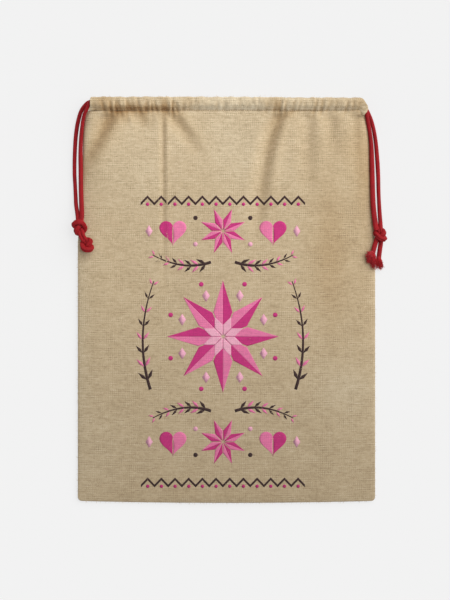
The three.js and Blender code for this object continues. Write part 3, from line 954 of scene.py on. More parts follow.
    def front_height(self, x: Array, y: Array) -> Array:
        """Find the level of the middle of the front cloth, without its small creases."""
        low = self.bottom_edge(x)
        share = np.clip((y - low) / (self.hem_line - low), 0.0, 1.0)
        row = share * (self.hem_line - self.bottom)
        half = self.row_half_width(row)
        sharpness = 2 + self.shoulder_sharpness * self.gathered(self.bottom + row) ** 3
        half = half + np.where(x < 0, self.bulge(y, Side.LEFT), self.bulge(y, Side.RIGHT))
        across = np.sqrt(np.maximum(1 - np.minimum(np.abs(x / half), 1.0) ** sharpness, 0.0))
        crown = (self.front_level - self.front_rim) * share ** self.crown_power
        calm = smoothstep(half - np.abs(x), 0.0, self.calm_edge) * smoothstep(y - low, 0.0, self.calm_edge)
        relief = self.fold_relief(x, y) + self.sway(x, y) * calm
        corner = np.hypot(x - self.mouth_width / 2 + 3.0, y - self.hem_line) / self.corner_reach
        return self.front_rim + (crown + relief) * across + self.corner_rise * bell(corner) * across

    def creased_height(self, x: Array, y: Array) -> Array:
        """Find the level of the middle of the front cloth, with its small creases."""
        return self.front_height(x, y) + self.gathers.relief(x, y - self.hem_line)

    def front_points(self, x: Array, y: Array, lift: float) -> Array:
        """Place points on the front cloth, a given lift above its middle."""
        return np.stack(np.broadcast_arrays(x, y, self.creased_height(x, y) + lift), axis=-1)


def edge_steps(reach: float, count: int) -> list[float]:
    """Space distances in from an edge, closer towards it."""
    return [reach * (step / count) ** 1.8 for step in range(count)]


def columns_between(left: float, right: float, band: float, edge_count: int, count: int) -> Array:
    """Space a cloth's columns from side to side, closer together in a band along each side."""
    edges = edge_steps(band, edge_count)
    return np.array([*[left + distance for distance in edges], *spread(left + band, right - band, count),
                     *[right - distance for distance in reversed(edges)]])


def turned_row(row: Array, turned: Sequence[Pair], inward: Sequence[float]) -> Array:
    """Turn in both ends of a row by distances in and inward, listed from the raw edge outwards."""
    reach, depth = np.array(turned).T
    moves = np.column_stack([reach, inward[0] * depth, inward[1] * depth])
    return np.vstack([row[0] + moves, row, (row[-1] + moves * (-1, 1, 1))[::-1]])


@dataclass
class Cloth:
    """A sheet of the sack, from its outline to its finished thickness."""

    node: str
    form: SackForm
    columns: int
    front: bool

    def sheet(self, grid: Array, across: Array, along: Array, tone: Array, keep: Array) -> Piece:
        """Turn the grid into cloth.

        Args:
            grid: The points of its middle, as rows by columns by 3.
            across: The places across the flat cloth, as rows by columns.
            along: The place up the flat cloth of each row.
            tone: How light the cloth is, as rows by columns.
            keep: Which of the quads are cloth.

        Returns:
            The cloth, with its thickness.
        """
        uvs = np.stack([across, np.repeat(along[:, None], grid.shape[1], axis=1)], axis=-1) * MM
        obj = cloth_grid(self.node + "_cloth", grid, uvs, tone, keep)
        if not self.front:
            obj.data.flip_normals()
        thicken(obj, self.form.cloth, 0.0)
        return obj


@dataclass
class PanelCloth(Cloth):
    """One panel of the sack from its bottom seam to the stitching of its hem."""

    row_pitch: float
    gather_pitch: float
    edge_band: float = 25.0
    edge_count: int = 10
    stitch_band: float = 16.0
    stitch_rows: int = 12
    allowance: float = 10.0
    roll: float = 0.9
    drop: float = 0.6

    def heights(self) -> list[float]:
        """List the rows' distances above the bottom edge."""
        full = self.form.hem_line - self.form.bottom
        gather, near = full - self.form.gather_height, full - self.stitch_band
        rows = edge_steps(self.edge_band, self.edge_count + 2)
        rows += spread(self.edge_band, gather, int((gather - self.edge_band) / self.row_pitch))[:-1]
        rows += spread(gather, near, int((near - gather) / self.gather_pitch))[:-1]
        return rows + spread(near, full, self.stitch_rows)

    def turned(self) -> list[Pair]:
        """List how far in and down the turned edge lies, from the raw edge out to the outline."""
        flat = [(reach, self.drop + self.roll) for reach in (self.allowance, 6.5, 3.5, 1.6)]
        turns = [(self.roll * (1 - math.cos(angle)), self.drop + self.roll * math.sin(angle))
                 for angle in (1.3, 0.9, 0.45)]
        return flat + turns + [(0.0, self.drop * 0.6)]

    def build(self) -> Piece:
        """Make the panel as one sheet with its seam allowances turned in."""
        form = self.form
        turned = self.turned()
        extra = len(turned)
        way = 1 if self.front else -1
        full = form.hem_line - form.bottom
        rows = [(offset, 0.0) for offset in turned] + [((0.0, 0.0), height) for height in self.heights()]
        grid = []
        for (bottom_in, bottom_down), height in rows:
            half = float(form.row_half_width(np.array(height)))
            left, right = (half + float(form.bulge(np.array(form.bottom + height), side)) for side in Side)
            x = columns_between(-left, right, self.edge_band, self.edge_count, self.columns - 1)
            low = form.bottom_edge(x)
            y = low + (form.hem_line - low) * height / full
            row = np.column_stack([x, y + bottom_in, self.level(x, y) - way * bottom_down])
            grid.append(turned_row(row, turned, (0.0, -way)))
        grid = np.array(grid)
        keep = np.ones((grid.shape[0] - 1, grid.shape[1] - 1), bool)
        keep[:extra, :extra] = False
        keep[:extra, -extra:] = False
        across = distances(grid)
        across -= across[:, -1:] / 2
        across *= across[len(grid) // 3, -1] / across[:, -1:]
        # The front panel carries its broad patches and the painted shade of its folds and creases.
        tone = form.tone(grid[..., 0], grid[..., 1]) if self.front else np.ones(grid.shape[:2])
        return self.sheet(grid, across, distances(grid[:, grid.shape[1] // 2]), tone, keep)

    def level(self, x: Array, y: Array) -> Array:
        """Find the level of the middle of this panel."""
        if self.front:
            return self.form.creased_height(x, y)
        unevenness = self.form.back_unevenness * (1 + np.sin(x / 31.0) * np.sin(y / 43.0))
        return np.full(np.shape(x), self.form.back_level) + unevenness


@dataclass
class HemCloth(Cloth):
    """The top of a panel, turned over and stitched down into a tunnel for the two cords."""

    profile: tuple[Pair, ...]
    swell: float
    crease_share: float
    ear: float = 0.0
    ear_low: float = 323.0
    ear_high: float = 337.5
    ear_level: float = 20.0
    left_ear: float = 3.4
    left_ear_high: float = 325.0
    left_ear_height: float = 7.0
    flap: float = 0.0
    flap_reach: float = 8.0
    flap_lift: float = 3.2
    tucked_below: float = 330.0
    crumple: float = 0.0
    ripple_pitch: float = 27.0
    cords: Pair = (326.4, 334.4)
    cord_level: float = 20.0
    cord_radius: float = 3.5
    clearance: float = 0.15
    deepest_pull: float = 6.0
    sag: float = 1.5
    step: float = 1.5
    corner_radius: float = 5.0
    turn: float = 0.8
    allowance: float = 9.0
    edge_band: float = 10.0
    edge_count: int = 6
    open_end: float = 14.0
    gathering: float = 1.09
    least_level: float = 0.05

    @cached_property
    def wrap(self) -> tuple[Array, Array, Array]:
        """The line that the cloth follows round the tunnel, its outward directions and its distances."""
        line = spline(self.profile, self.step)
        tangent = unit(np.gradient(line, axis=0))
        outward = np.stack([-tangent[:, 1], tangent[:, 0]], axis=1) * (1 if self.front else -1)
        return line, outward, distances(line)

    def lift(self, x: Array, past: float) -> Array:
        """Find how far the ripple and the creases carry the cloth off its plain line."""
        pitch = self.ripple_pitch
        ripple = 0.5 + 0.5 * np.sin(2 * np.pi * x / pitch + 1.3 * np.sin(x / pitch))
        ripple = ripple * smoothstep(self.form.mouth_width / 2 - np.abs(x), 0.0, pitch)
        crest = smoothstep(past, 1.0, 9.0) * (1.0 - smoothstep(past, 24.0, 34.0))
        uneven = np.sin(x / 3.3 + 2.2 * np.sin(x / 7.9)) * np.sin(x / 11.0 + past / 6.0) * self.crumple
        creases = self.form.gathers.relief(x, np.full(x.shape, past))
        return (self.swell * ripple + uneven) * crest + self.crease_share * creases

    def from_cords(self, y: Array, z: Array) -> Array:
        """Find the distance from a place to the skin of the two cords, or of the space between them."""
        low, high = self.cords
        beside = np.maximum(np.maximum(low - y, y - high), 0.0)
        return np.hypot(beside, z - self.cord_level) - self.cord_radius

    def deepest(self, place: Array, out: Array) -> float:
        """Find how far in the cloth may be drawn at a place before it would meet the cords."""
        reaches = np.linspace(0.0, -self.deepest_pull, 61)
        near = self.from_cords(place[0] + out[0] * reaches, place[1] + out[1] * reaches)
        blocked = np.flatnonzero(near < self.form.cloth / 2 + self.clearance)
        return float(reaches[max(blocked[0] - 1, 0)]) if len(blocked) else -self.deepest_pull

    def sagged(self, x: Array, y: Array) -> Array:
        """Find how far the top edge has sunk, which it does towards the right."""
        return self.sag * smoothstep(x, -60.0, 200.0) * smoothstep(y, 336.0, 339.5)

    def place(self, x: Array, past: float, off: float) -> Array:
        """Place points on the hem.

        Args:
            x: The places across.
            past: The distance along the cloth past the stitching.
            off: How far off the cloth's middle they lie.

        Returns:
            The points.
        """
        line, outward, along = self.wrap
        middle, out = (np.array([np.interp(past, along, values[:, axis]) for axis in (0, 1)])
                       for values in (line, outward))
        reach = np.maximum(self.lift(x, past), self.deepest(middle, out)) + off
        y = middle[0] + out[0] * reach
        z = np.maximum(middle[1] + out[1] * reach, 0.3)
        return np.column_stack([x, y - self.sagged(x, y), z])

    def ends(self, y: float, z: float) -> Pair:
        """Find where the hem starts and ends across, with its round corners and its pulled-out ears."""
        half = self.form.mouth_width / 2
        into = min(max(y - (self.form.top - self.corner_radius), 0.0), self.corner_radius)
        cut = self.corner_radius - math.sqrt(self.corner_radius ** 2 - into ** 2)
        right_ear = self.ear * np.clip((self.ear_high - y) / (self.ear_high - self.ear_low), 0.0, 1.0)
        right_ear *= smoothstep(z, self.ear_level - 1.5, self.ear_level + 3.0)
        right_ear *= 0.3 + 0.7 * smoothstep(y, self.form.hem_line, self.form.hem_line + 6.0)
        left_ear = self.left_ear * np.clip((self.left_ear_high - y) / self.left_ear_height, 0.0, 1.0)
        left_ear = min(self.ear, left_ear) * smoothstep(z, self.ear_level - 0.9, self.ear_level)
        return -half + cut - float(left_ear), half - cut + float(right_ear)

    def row(self, index: int, inner: Array) -> Array:
        """Place the points of one row, from end to end.

        Args:
            index: The row's number on the line round the tunnel.
            inner: The columns' places on the plain hem.

        Returns:
            The points.
        """
        line, outward, past = self.wrap
        half = self.form.mouth_width / 2
        left_end, right_end = self.ends(*line[index])
        share = (inner + half) / (2 * half)
        x = inner + (left_end + half) * (1 - share) ** 12 + (right_end - half) * share ** 12
        loose = min(self.flap, 1.0)
        hang = smoothstep(x, half - self.flap_reach, half + 2.0) * (1.0 - smoothstep(past[index], 2.0, 9.0))
        lift = np.maximum(self.lift(x, past[index]), self.deepest(line[index], outward[index]))
        lift = lift * (1.0 - hang * loose)
        rise = smoothstep(x, half - 5.0, half + 3.0) * hang
        y = line[index, 0] + outward[index, 0] * lift - self.flap * hang
        y = y - self.sagged(x, y)
        z = line[index, 1] + outward[index, 1] * lift + self.flap_lift * rise * loose
        z = np.maximum(z, self.form.cloth / 2 + self.least_level)
        if self.front and index > self.top_row and line[index, 0] < self.tucked_below:
            z = np.minimum(z, self.outer_level(x, y) - self.form.cloth - 0.2)
        return np.column_stack([x, y, z])

    @property
    def top_row(self) -> int:
        """The number of the row that lies highest up the sack."""
        return int(np.argmax(self.wrap[0][:, 0]))

    def outer_level(self, x: Array, y: Array) -> Array:
        """Find the level of the outer cloth, behind which the turned-in end lies."""
        outer = self.wrap[0][:self.top_row]
        above = np.interp(y, outer[:, 0], outer[:, 1])
        level = np.where(y > self.form.hem_line, above, self.form.front_height(x, y))
        return level + np.minimum(self.form.gathers.relief(x, y - self.form.hem_line), 0.0)

    def build(self) -> Piece:
        """Make the hem as one sheet that goes round its tunnel."""
        line, outward, past = self.wrap
        half = self.form.mouth_width / 2
        folded = [(self.allowance, 2.0), (5.0, 2.0), (2.0, 2.0), (0.6, 1.8), (0.1, 1.2), (0.0, 0.6)]
        inner = columns_between(-half, half, self.edge_band, self.edge_count, self.columns)
        least_room = 2.0 * self.turn + self.form.cloth / 2 + self.clearance
        grid, turned = [], []
        for index in range(len(line)):
            row = self.row(index, inner)
            turned.append(self.from_cords(row[[0, -1], 1], row[[0, -1], 2]).min() > least_room)
            grid.append(turned_row(row, folded, -self.turn * outward[index]))
        grid, turned = np.array(grid), np.array(turned)
        outer = np.abs(grid[:-1, :-1, 0]) > half - self.open_end
        inside = (np.arange(len(line) - 1) >= self.top_row)[:, None]
        keep = ~(outer & inside)
        bare = ~(turned[:-1] & turned[1:])
        keep[bare, :len(folded) - 1] = False
        keep[bare, 1 - len(folded):] = False
        across = distances(grid)
        across = (across - across[:, -1:] / 2) * self.gathering
        tone = np.ones(grid.shape[:2])
        if self.front:
            # The hem carries the panel's broad patches and the painted shade and painted light of its creases
            # and band.
            tone = self.form.tone(grid[..., 0], np.full(grid.shape[:2], self.form.hem_line - 40.0))
            tone = tone - self.form.gathers.painted_shade(grid[..., 0], past[:, None])
        return self.sheet(grid, across, past + self.form.hem_line - self.form.bottom + 20.0, tone, keep)


# The studio


@dataclass
class Studio:
    """The pale floor, the soft light and the camera that looks straight down."""

    centre: Pair = (-2.5, 0.4)
    frame_height: float = 1007.0
    level_share: float = 0.6
    lens: float = 100.0
    sensor: float = 36.0
    floor_half: float = 4000.0
    floor_gap: float = 0.05
    sun_share: float = 0.62
    sun_direction: Place = (0.66, 0.52, 0.78)
    sun_softness: float = 70.0

    def build(self) -> None:
        """Make the floor, the lights and the camera."""
        self.floor()
        self.light()
        self.camera()

    def floor(self) -> None:
        """Lay the floor just under the sack."""
        select_only()
        bpy.ops.mesh.primitive_plane_add(size=2 * self.floor_half * MM, location=(0, 0, -self.floor_gap * MM))
        floor = named("floor")
        floor.data.materials.append(FloorFinish().material())

    def light(self) -> None:
        """Light the object at a plain level: most from all round, the rest from a wide soft sun."""
        world = bpy.data.worlds.new("studio")
        world.use_nodes = True
        background = world.node_tree.nodes["Background"]
        background.inputs["Color"].default_value = (1.0, 1.0, 1.0, 1.0)
        background.inputs["Strength"].default_value = 1.0 - self.sun_share
        bpy.context.scene.world = world
        select_only()
        bpy.ops.object.light_add(type="SUN", location=(0, 0, 2))
        sun = named("soft_sun")
        direction = Vector(self.sun_direction).normalized()
        sun.rotation_euler = direction.to_track_quat("Z", "Y").to_euler()
        sun.data.energy = self.sun_share * math.pi / direction.z
        sun.data.angle = math.radians(self.sun_softness)

    def camera(self) -> None:
        """Hang the camera straight above the sack, with its frame as high as the photograph's."""
        level = CAD_BOX[1][2] / MM * self.level_share
        distance = self.frame_height / 2 / (self.sensor / 2 / self.lens)
        select_only()
        x, y = self.centre
        bpy.ops.object.camera_add(location=(x * MM, y * MM, (level + distance) * MM))
        camera = named("camera")
        camera.rotation_euler = (0.0, 0.0, 0.0)
        camera.data.lens = self.lens
        camera.data.sensor_width = self.sensor
        camera.data.sensor_fit = "AUTO"
        bpy.context.scene.camera = camera


# The sewn sack

FRONT_TUNNEL = ((318.0, 20.0), (320.4, 20.7), (322.8, 22.2), (326.0, 24.7), (330.0, 25.4), (335.0, 25.1),
                (338.9, 23.2), (340.3, 20.1), (339.0, 16.8), (334.4, 15.4), (328.0, 15.4), (323.4, 16.6),
                (321.0, 18.4), (318.0, 18.9), (314.0, 18.8))
BACK_TUNNEL = ((318.0, 0.6), (326.0, 0.6), (334.0, 0.6), (337.6, 1.8), (339.0, 5.0), (337.6, 8.2),
               (334.4, 9.5), (329.0, 9.6), (324.2, 9.2), (321.6, 6.2), (320.3, 2.6), (318.0, 1.7),
               (314.0, 1.7))


@dataclass
class SackBody:
    """The sewn sack: two panels and their hems."""

    form: SackForm
    cut_width: float = 520.0
    cut_height: float = 670.0
    front_hem_cut: float = 62.0
    back_hem_cut: float = 53.0
    front_hem: HemCloth = field(init=False)
    back_hem: HemCloth = field(init=False)

    def __post_init__(self) -> None:
        """Shape the hems, which the stitches and the loose fibres follow too."""
        self.front_hem = HemCloth("front_hem", self.form, 430, True, FRONT_TUNNEL, 0.7, 1.0,
                                  ear=9.5, flap=10.0, crumple=0.5)
        self.back_hem = HemCloth("back_hem", self.form, 220, False, BACK_TUNNEL, 0.3, 0.4,
                                 cord_level=5.0, sag=0.3)

    def build(self) -> None:
        """Make and dress the cloth."""
        jute = JuteFinish().material("jute_cloth")
        front = PanelCloth("front_panel", self.form, 226, True, 9.0, 3.2)
        back = PanelCloth("back_panel", self.form, 120, False, 14.0, 7.0)
        for cloth, cut, held in ((front, self.cut_height, "laid"), (back, self.cut_height, "laid"),
                                 (self.front_hem, self.front_hem_cut, "gathered"),
                                 (self.back_hem, self.back_hem_cut, "gathered")):
            obj = finish_piece(cloth.build(), jute, "sack", cloth.node)
            self.cut_width * MM
            cut * MM


@dataclass
class Sewing:
    """The stitches that close the tunnels, and the overlocked edges of the seams inside the sack."""

    form: SackForm
    front_hem: HemCloth
    back_hem: HemCloth
    dark: Colour = (112, 84, 50)
    light: Colour = (172, 142, 100)
    pitch: float = 3.9
    stitch: float = 3.0
    radius: float = 0.42
    back_share: float = 0.6
    row_ends: float = 223.0
    second_row: Pair = (182.0, 226.0)
    second_row_past: float = 7.2
    drift: float = 0.12
    overlock_pitch: float = 3.4
    overlock_radius: float = 0.3
    seam_reach: float = 10.0
    seam_low: float = 1.3
    seam_high: float = 3.75

    def build(self) -> None:
        """Make and dress all the sewing."""
        thread = ThreadFinish(self.dark, self.light).material("seam_thread")
        rows = [self.row(self.front_hem, -self.row_ends, self.row_ends, 0.6),
                self.row(self.front_hem, *self.second_row, self.second_row_past)]
        back = self.row(self.back_hem, -self.row_ends, self.row_ends, 1.0)
        radii = self.radius * np.array([0.45, 0.9, 1.0, 0.9, 0.45])
        overlock = np.full(9, self.overlock_radius)
        overlock[[0, -1]] *= 0.6
        pieces = [(threads("front_hem_stitches", np.vstack(rows), radii, 6), None),
                  (threads("back_hem_stitches", back, radii * self.back_share, 6), None)]
        seams = {"bottom_seam": self.bottom_loops()}
        seams |= {f"{side.name.lower()}_side_seam": self.side_loops(side) for side in Side}
        pieces += [(threads(name + "_overlock", loops, overlock, 5), name) for name, loops in seams.items()]
        for piece, node in pieces:
            finish_piece(piece, thread, "sack", node)

    def row(self, hem: HemCloth, low: float, high: float, past: float) -> Array:
        """Lay a row of stitches on a hem, each dipping into the cloth at both ends.

        Args:
            hem: The hem that they close.
            low: Where the row starts, across.
            high: Where it ends.
            past: How far along the cloth from the hem's edge it lies.

        Returns:
            The stitches' middle lines.
        """
        starts = np.arange(low, high - self.stitch, self.pitch)
        dips = (-0.25, 0.1, 0.2, 0.1, -0.25)
        shares = (0.0, 0.18, 0.5, 0.82, 1.0)
        drift = np.random.default_rng(7).normal(0.0, self.drift, len(starts))
        lines = np.zeros((len(starts), len(shares), 3))
        for step, (share, dip) in enumerate(zip(shares, dips)):
            lines[:, step] = hem.place(starts + self.stitch * share, past, self.form.cloth / 2 + dip)
            lines[:, step, 1] += drift * (1 if step > 2 else -1)
        return lines

    def loops(self, edge: Array, inward: Sequence[float]) -> Array:
        """Wind thread over the two seam allowances: up through the cloth, over the raw edge and back below.

        Args:
            edge: The points of the seam that the loops start from, in millimetres.
            inward: The direction from these into the sack.

        Returns:
            The middle lines of the loops.
        """
        along = unit(np.gradient(edge, axis=0))
        near, far = self.seam_reach * 0.35, self.seam_reach + 0.5
        low, high = self.seam_low, self.seam_high
        middle = (low + high) / 2
        shape = ((near, middle, 0.0), (near + 0.3, high, 0.0), ((near + far) / 2, high + 0.1, 0.25),
                 (far - 0.5, high, 0.5), (far, middle, 0.55), (far - 0.5, low, 0.6),
                 ((near + far) / 2, low - 0.05, 0.8), (near + 0.3, low, 1.0), (near, middle, 1.0))
        lines = np.zeros((len(edge), len(shape), 3))
        for step, (reach, level, share) in enumerate(shape):
            lines[:, step] = edge + np.array(inward) * reach + along * (share * self.overlock_pitch)
            lines[:, step, 2] = level
        return lines

    def bottom_loops(self) -> Array:
        """Wind the overlock along the bottom seam."""
        half = self.form.width / 2 - self.seam_reach
        x = np.arange(-half, half, self.overlock_pitch)
        return self.loops(np.column_stack([x, self.form.bottom_edge(x), np.zeros(len(x))]), (0.0, 1.0, 0.0))

    def side_loops(self, side: Side) -> Array:
        """Wind the overlock along one side seam."""
        y = np.arange(self.form.bottom + self.seam_reach, self.form.hem_line - 2.0, self.overlock_pitch)
        edge = np.column_stack([side.value * self.form.side_edge(y), y, np.zeros(len(y))])
        return self.loops(edge, (-side.value, 0.0, 0.0))


# The print


class Ink(Enum):
    """The inks of the print, as screen colours, in the order in which they were laid on."""

    BARK = (64, 42, 40)
    MAGENTA = (204, 52, 126)
    PINK = (238, 126, 170)
    BLUSH = (246, 178, 200)


def polar(radius: float, angle: float) -> Array:
    """Find the place at a distance and an angle from the middle."""
    return radius * np.array([math.cos(angle), math.sin(angle)])


@dataclass
class PrintedDesign:
    """The ornament printed on the front: stars, hearts, dots and twigs in four inks.

    Its places are in millimetres from the middle of the design, and its left and right halves match.
    """

    form: SackForm
    finish: JuteFinish
    middle: Pair = (-6.0, -66.0)
    lift: float = 0.06
    coat: float = 0.07
    depth: float = 0.3
    facet: float = 4.0
    star_middle: float = 5.0
    star_radius: float = 94.0
    rows: tuple[tuple[float, int], ...] = ((182.0, 1), (-172.0, -1))
    borders: Pair = (236.0, -238.0)
    border_steps: int = 12
    border_pitch: float = 23.0
    patches: dict[Ink, list[Array]] = field(default_factory=lambda: {ink: [] for ink in Ink})

    def patch(self, ink: Ink, first: Route, second: Route) -> None:
        """Fill the space between two edges of as many points each with ink."""
        first, second = np.asarray(first, float), np.asarray(second, float)
        rungs = max(int(np.linalg.norm(first - second, axis=1).max() / self.facet), 1) + 1
        share = np.linspace(0.0, 1.0, rungs)[:, None, None]
        self.patches[ink].append(first[None] * (1 - share) + second[None] * share)

    def kite(self, ink: Ink, corners: Route) -> None:
        """Fill a shape of four corners."""
        first, second, third, fourth = (np.asarray(corner, float) for corner in corners)
        longest = max(np.linalg.norm(second - first), np.linalg.norm(third - fourth))
        share = np.linspace(0.0, 1.0, max(int(longest / self.facet), 1) + 1)[:, None]
        self.patch(ink, first + (second - first) * share, fourth + (third - fourth) * share)

    def star(self, y: float, radius: float, inks: tuple[Ink, Ink], turn: float = 0.0,
             waist: float = 0.47) -> None:
        """Draw a star of eight points on the middle line.

        Args:
            y: The height of its middle.
            radius: How far its points reach.
            inks: The inks of a point's two halves.
            turn: How far it is turned.
            waist: How far out the corners between the points lie, as a share of the radius.
        """
        middle = np.array([0.0, y])
        for point in range(8):
            angle = math.pi / 4 * point + turn
            tip = middle + polar(radius, angle)
            inner = middle + polar(radius * 0.04, angle)
            for half, ink in zip((-1, 1), inks):
                shoulder = middle + polar(radius * waist, angle + half * (math.pi / 8 - 0.02))
                self.kite(ink, (inner, tip, tip * 0.5 + shoulder * 0.5, shoulder))

    def disc(self, x: float, y: float, radius: float, ink: Ink) -> None:
        """Draw a dot."""
        angle = np.linspace(0.05, math.pi - 0.05, 9)
        arc = np.column_stack([np.cos(angle), np.sin(angle)]) * radius
        self.patch(ink, arc + (x, y), arc * (1, -1) + (x, y))

    def diamond(self, x: float, y: float, wide: float, tall: float, ink: Ink) -> None:
        """Draw a diamond that stands on its point."""
        self.kite(ink, ((x - wide / 2, y), (x, y + tall / 2), (x + wide / 2, y), (x, y - tall / 2)))

    def heart(self, x: float, y: float, size: float, inks: tuple[Ink, Ink]) -> None:
        """Draw a heart with its two halves in two inks."""
        turn = np.linspace(0.12, math.pi, 17)
        rise = 13 * np.cos(turn) - 5 * np.cos(2 * turn) - 2 * np.cos(3 * turn) - np.cos(4 * turn)
        outline = np.column_stack([16 * np.sin(turn) ** 3, rise]) * size / 32
        spine = np.column_stack([np.full(17, 0.5), np.linspace(4.6, -16.6, 17)]) * size / 32
        for side, ink in zip((-1, 1), inks):
            self.patch(ink, spine * (side, 1) + (x, y), outline * (side, 1) + (x, y))

    def twig(self, start: Sequence[float], bend: Sequence[float], end: Sequence[float], leaf: float) -> None:
        """Draw a curved twig with pairs of narrow leaves, and its mirror image on the other side.

        Args:
            start: Where it starts.
            bend: The place that it bends towards.
            end: Where it ends.
            leaf: The length of its first leaves.
        """
        share = np.linspace(0.0, 1.0, 25)[:, None]
        start, bend, end = (np.asarray(point, float) for point in (start, bend, end))
        line = start * (1 - share) ** 2 + 2 * bend * share * (1 - share) + end * share ** 2
        tangent = unit(np.gradient(line, axis=0))
        normal = np.column_stack([-tangent[:, 1], tangent[:, 0]])
        width = 2.6 * (1.0 - 0.7 * share)
        for flip in ((1.0, 1.0), (-1.0, 1.0)):
            self.patch(Ink.BARK, (line + normal * width) * flip, (line - normal * width) * flip)
            for number in range(2, 24, 3):
                reach = leaf * (1.0 - 0.45 * number / 24)
                ink = Ink.PINK if (number // 3) % 2 else Ink.BARK
                for turned in (-1, 1):
                    along = tangent[number] * 0.8 + normal[number] * 0.6 * turned
                    across = np.array([-along[1], along[0]]) * reach * 0.16
                    foot = line[number] + along * 2.0
                    belly = foot + along * reach * 0.42
                    corners = (foot, belly + across, foot + along * reach, belly - across)
                    self.kite(ink, [point * flip for point in corners])

    def draw(self) -> None:
        """Lay out the whole design."""
        self.star(self.star_middle, self.star_radius, (Ink.MAGENTA, Ink.PINK))
        self.star(self.star_middle, 36.0, (Ink.BLUSH, Ink.BLUSH), math.pi / 8, 0.55)
        middle = np.array([0.0, self.star_middle])
        for number in range(8):
            angle = math.pi / 4 * (number + 0.5)
            self.diamond(*(middle + polar(74.0, angle)), 13.0, 20.0, Ink.BLUSH)
            self.disc(*(middle + polar(95.0, angle)), 4.0, Ink.MAGENTA)
        self.twig((122.0, -84.0), (150.0, 5.0), (116.0, 98.0), 20.0)
        for row, sign in self.rows:
            self.star(row, 40.0, (Ink.PINK, Ink.MAGENTA), math.pi / 8)
            for side in (-1, 1):
                self.heart(side * 84.0, row, 46.0, (Ink.PINK, Ink.MAGENTA)[::side])
                self.disc(side * 46.0, row + sign * 22.0, 3.8, Ink.BARK)
                self.disc(side * 46.0, row - sign * 22.0, 3.8, Ink.BLUSH)
                self.diamond(side * 124.0, row, 12.0, 20.0, Ink.BLUSH)
            self.twig((20.0, row - sign * 52.0), (66.0, row - sign * 68.0), (118.0, row - sign * 40.0), 18.0)
        half = self.border_pitch / 2
        for step in range(self.border_steps):
            x = (step - (self.border_steps - 1) / 2) * self.border_pitch
            for y in self.borders:
                for side in (-1, 1):
                    foot, top = (x + side * half, y - 6), (x, y + 6)
                    low, under = (x + side * half, y - 11), (x, y + 1)
                    self.kite(Ink.BARK, (foot, top, under, low) if side < 0 else (top, foot, low, under))
                self.disc(x, y - 9.0, 3.0, Ink.MAGENTA)

    def build(self) -> None:
        """Make and dress one piece of each ink, which lies on the cloth as its folds do."""
        self.draw()
        for number, (ink, patches) in enumerate(self.patches.items()):
            form = bmesh.new()
            layer = form.loops.layers.uv.new("cloth")
            lift = self.form.cloth / 2 + self.lift + self.coat * number
            for grid in patches:
                points = self.form.front_points(*np.moveaxis(grid + self.middle, -1, 0), lift) * MM
                rows = [[form.verts.new(point) for point in row] for row in points]
                for first, second in zip(rows[:-1], rows[1:]):
                    for corners in zip(first[:-1], first[1:], second[1:], second[:-1]):
                        self.face(form, corners, layer)
            bmesh.ops.remove_doubles(form, verts=form.verts, dist=0.02 * MM)
            mesh = bpy.data.meshes.new(f"print_{ink.name.lower()}")
            form.to_mesh(mesh)
            form.free()
            obj = linked(mesh)
            thicken(obj, self.depth, -1.0)
            places = np.array([vertex.co for vertex in obj.data.vertices]) / MM
            # The ink carries the same broad patches and painted shade as the cloth under it.
            paint_tone_and_shade(obj.data, self.form.tone(places[:, 0], places[:, 1]))
            finish_piece(obj, self.finish.material(mesh.name + "_ink", ink.value), "sack")
            for polygon in obj.data.polygons:
                polygon.use_smooth = polygon.normal.z > 0.6

    def face(self, form: bmesh.types.BMesh, corners: Sequence[bmesh.types.BMVert],
             layer: bmesh.types.BMLayerItem) -> None:
        """Add one upward face, mapped like the cloth under it."""
        first, second, third, _ = (corner.co for corner in corners)
        if (second - first).cross(third - second).z < 0:
            corners = corners[::-1]
        for loop in form.faces.new(corners).loops:
            loop[layer].uv = (loop.vert.co.x, loop.vert.co.y - self.form.bottom * MM + 0.02)


# The loose fibres


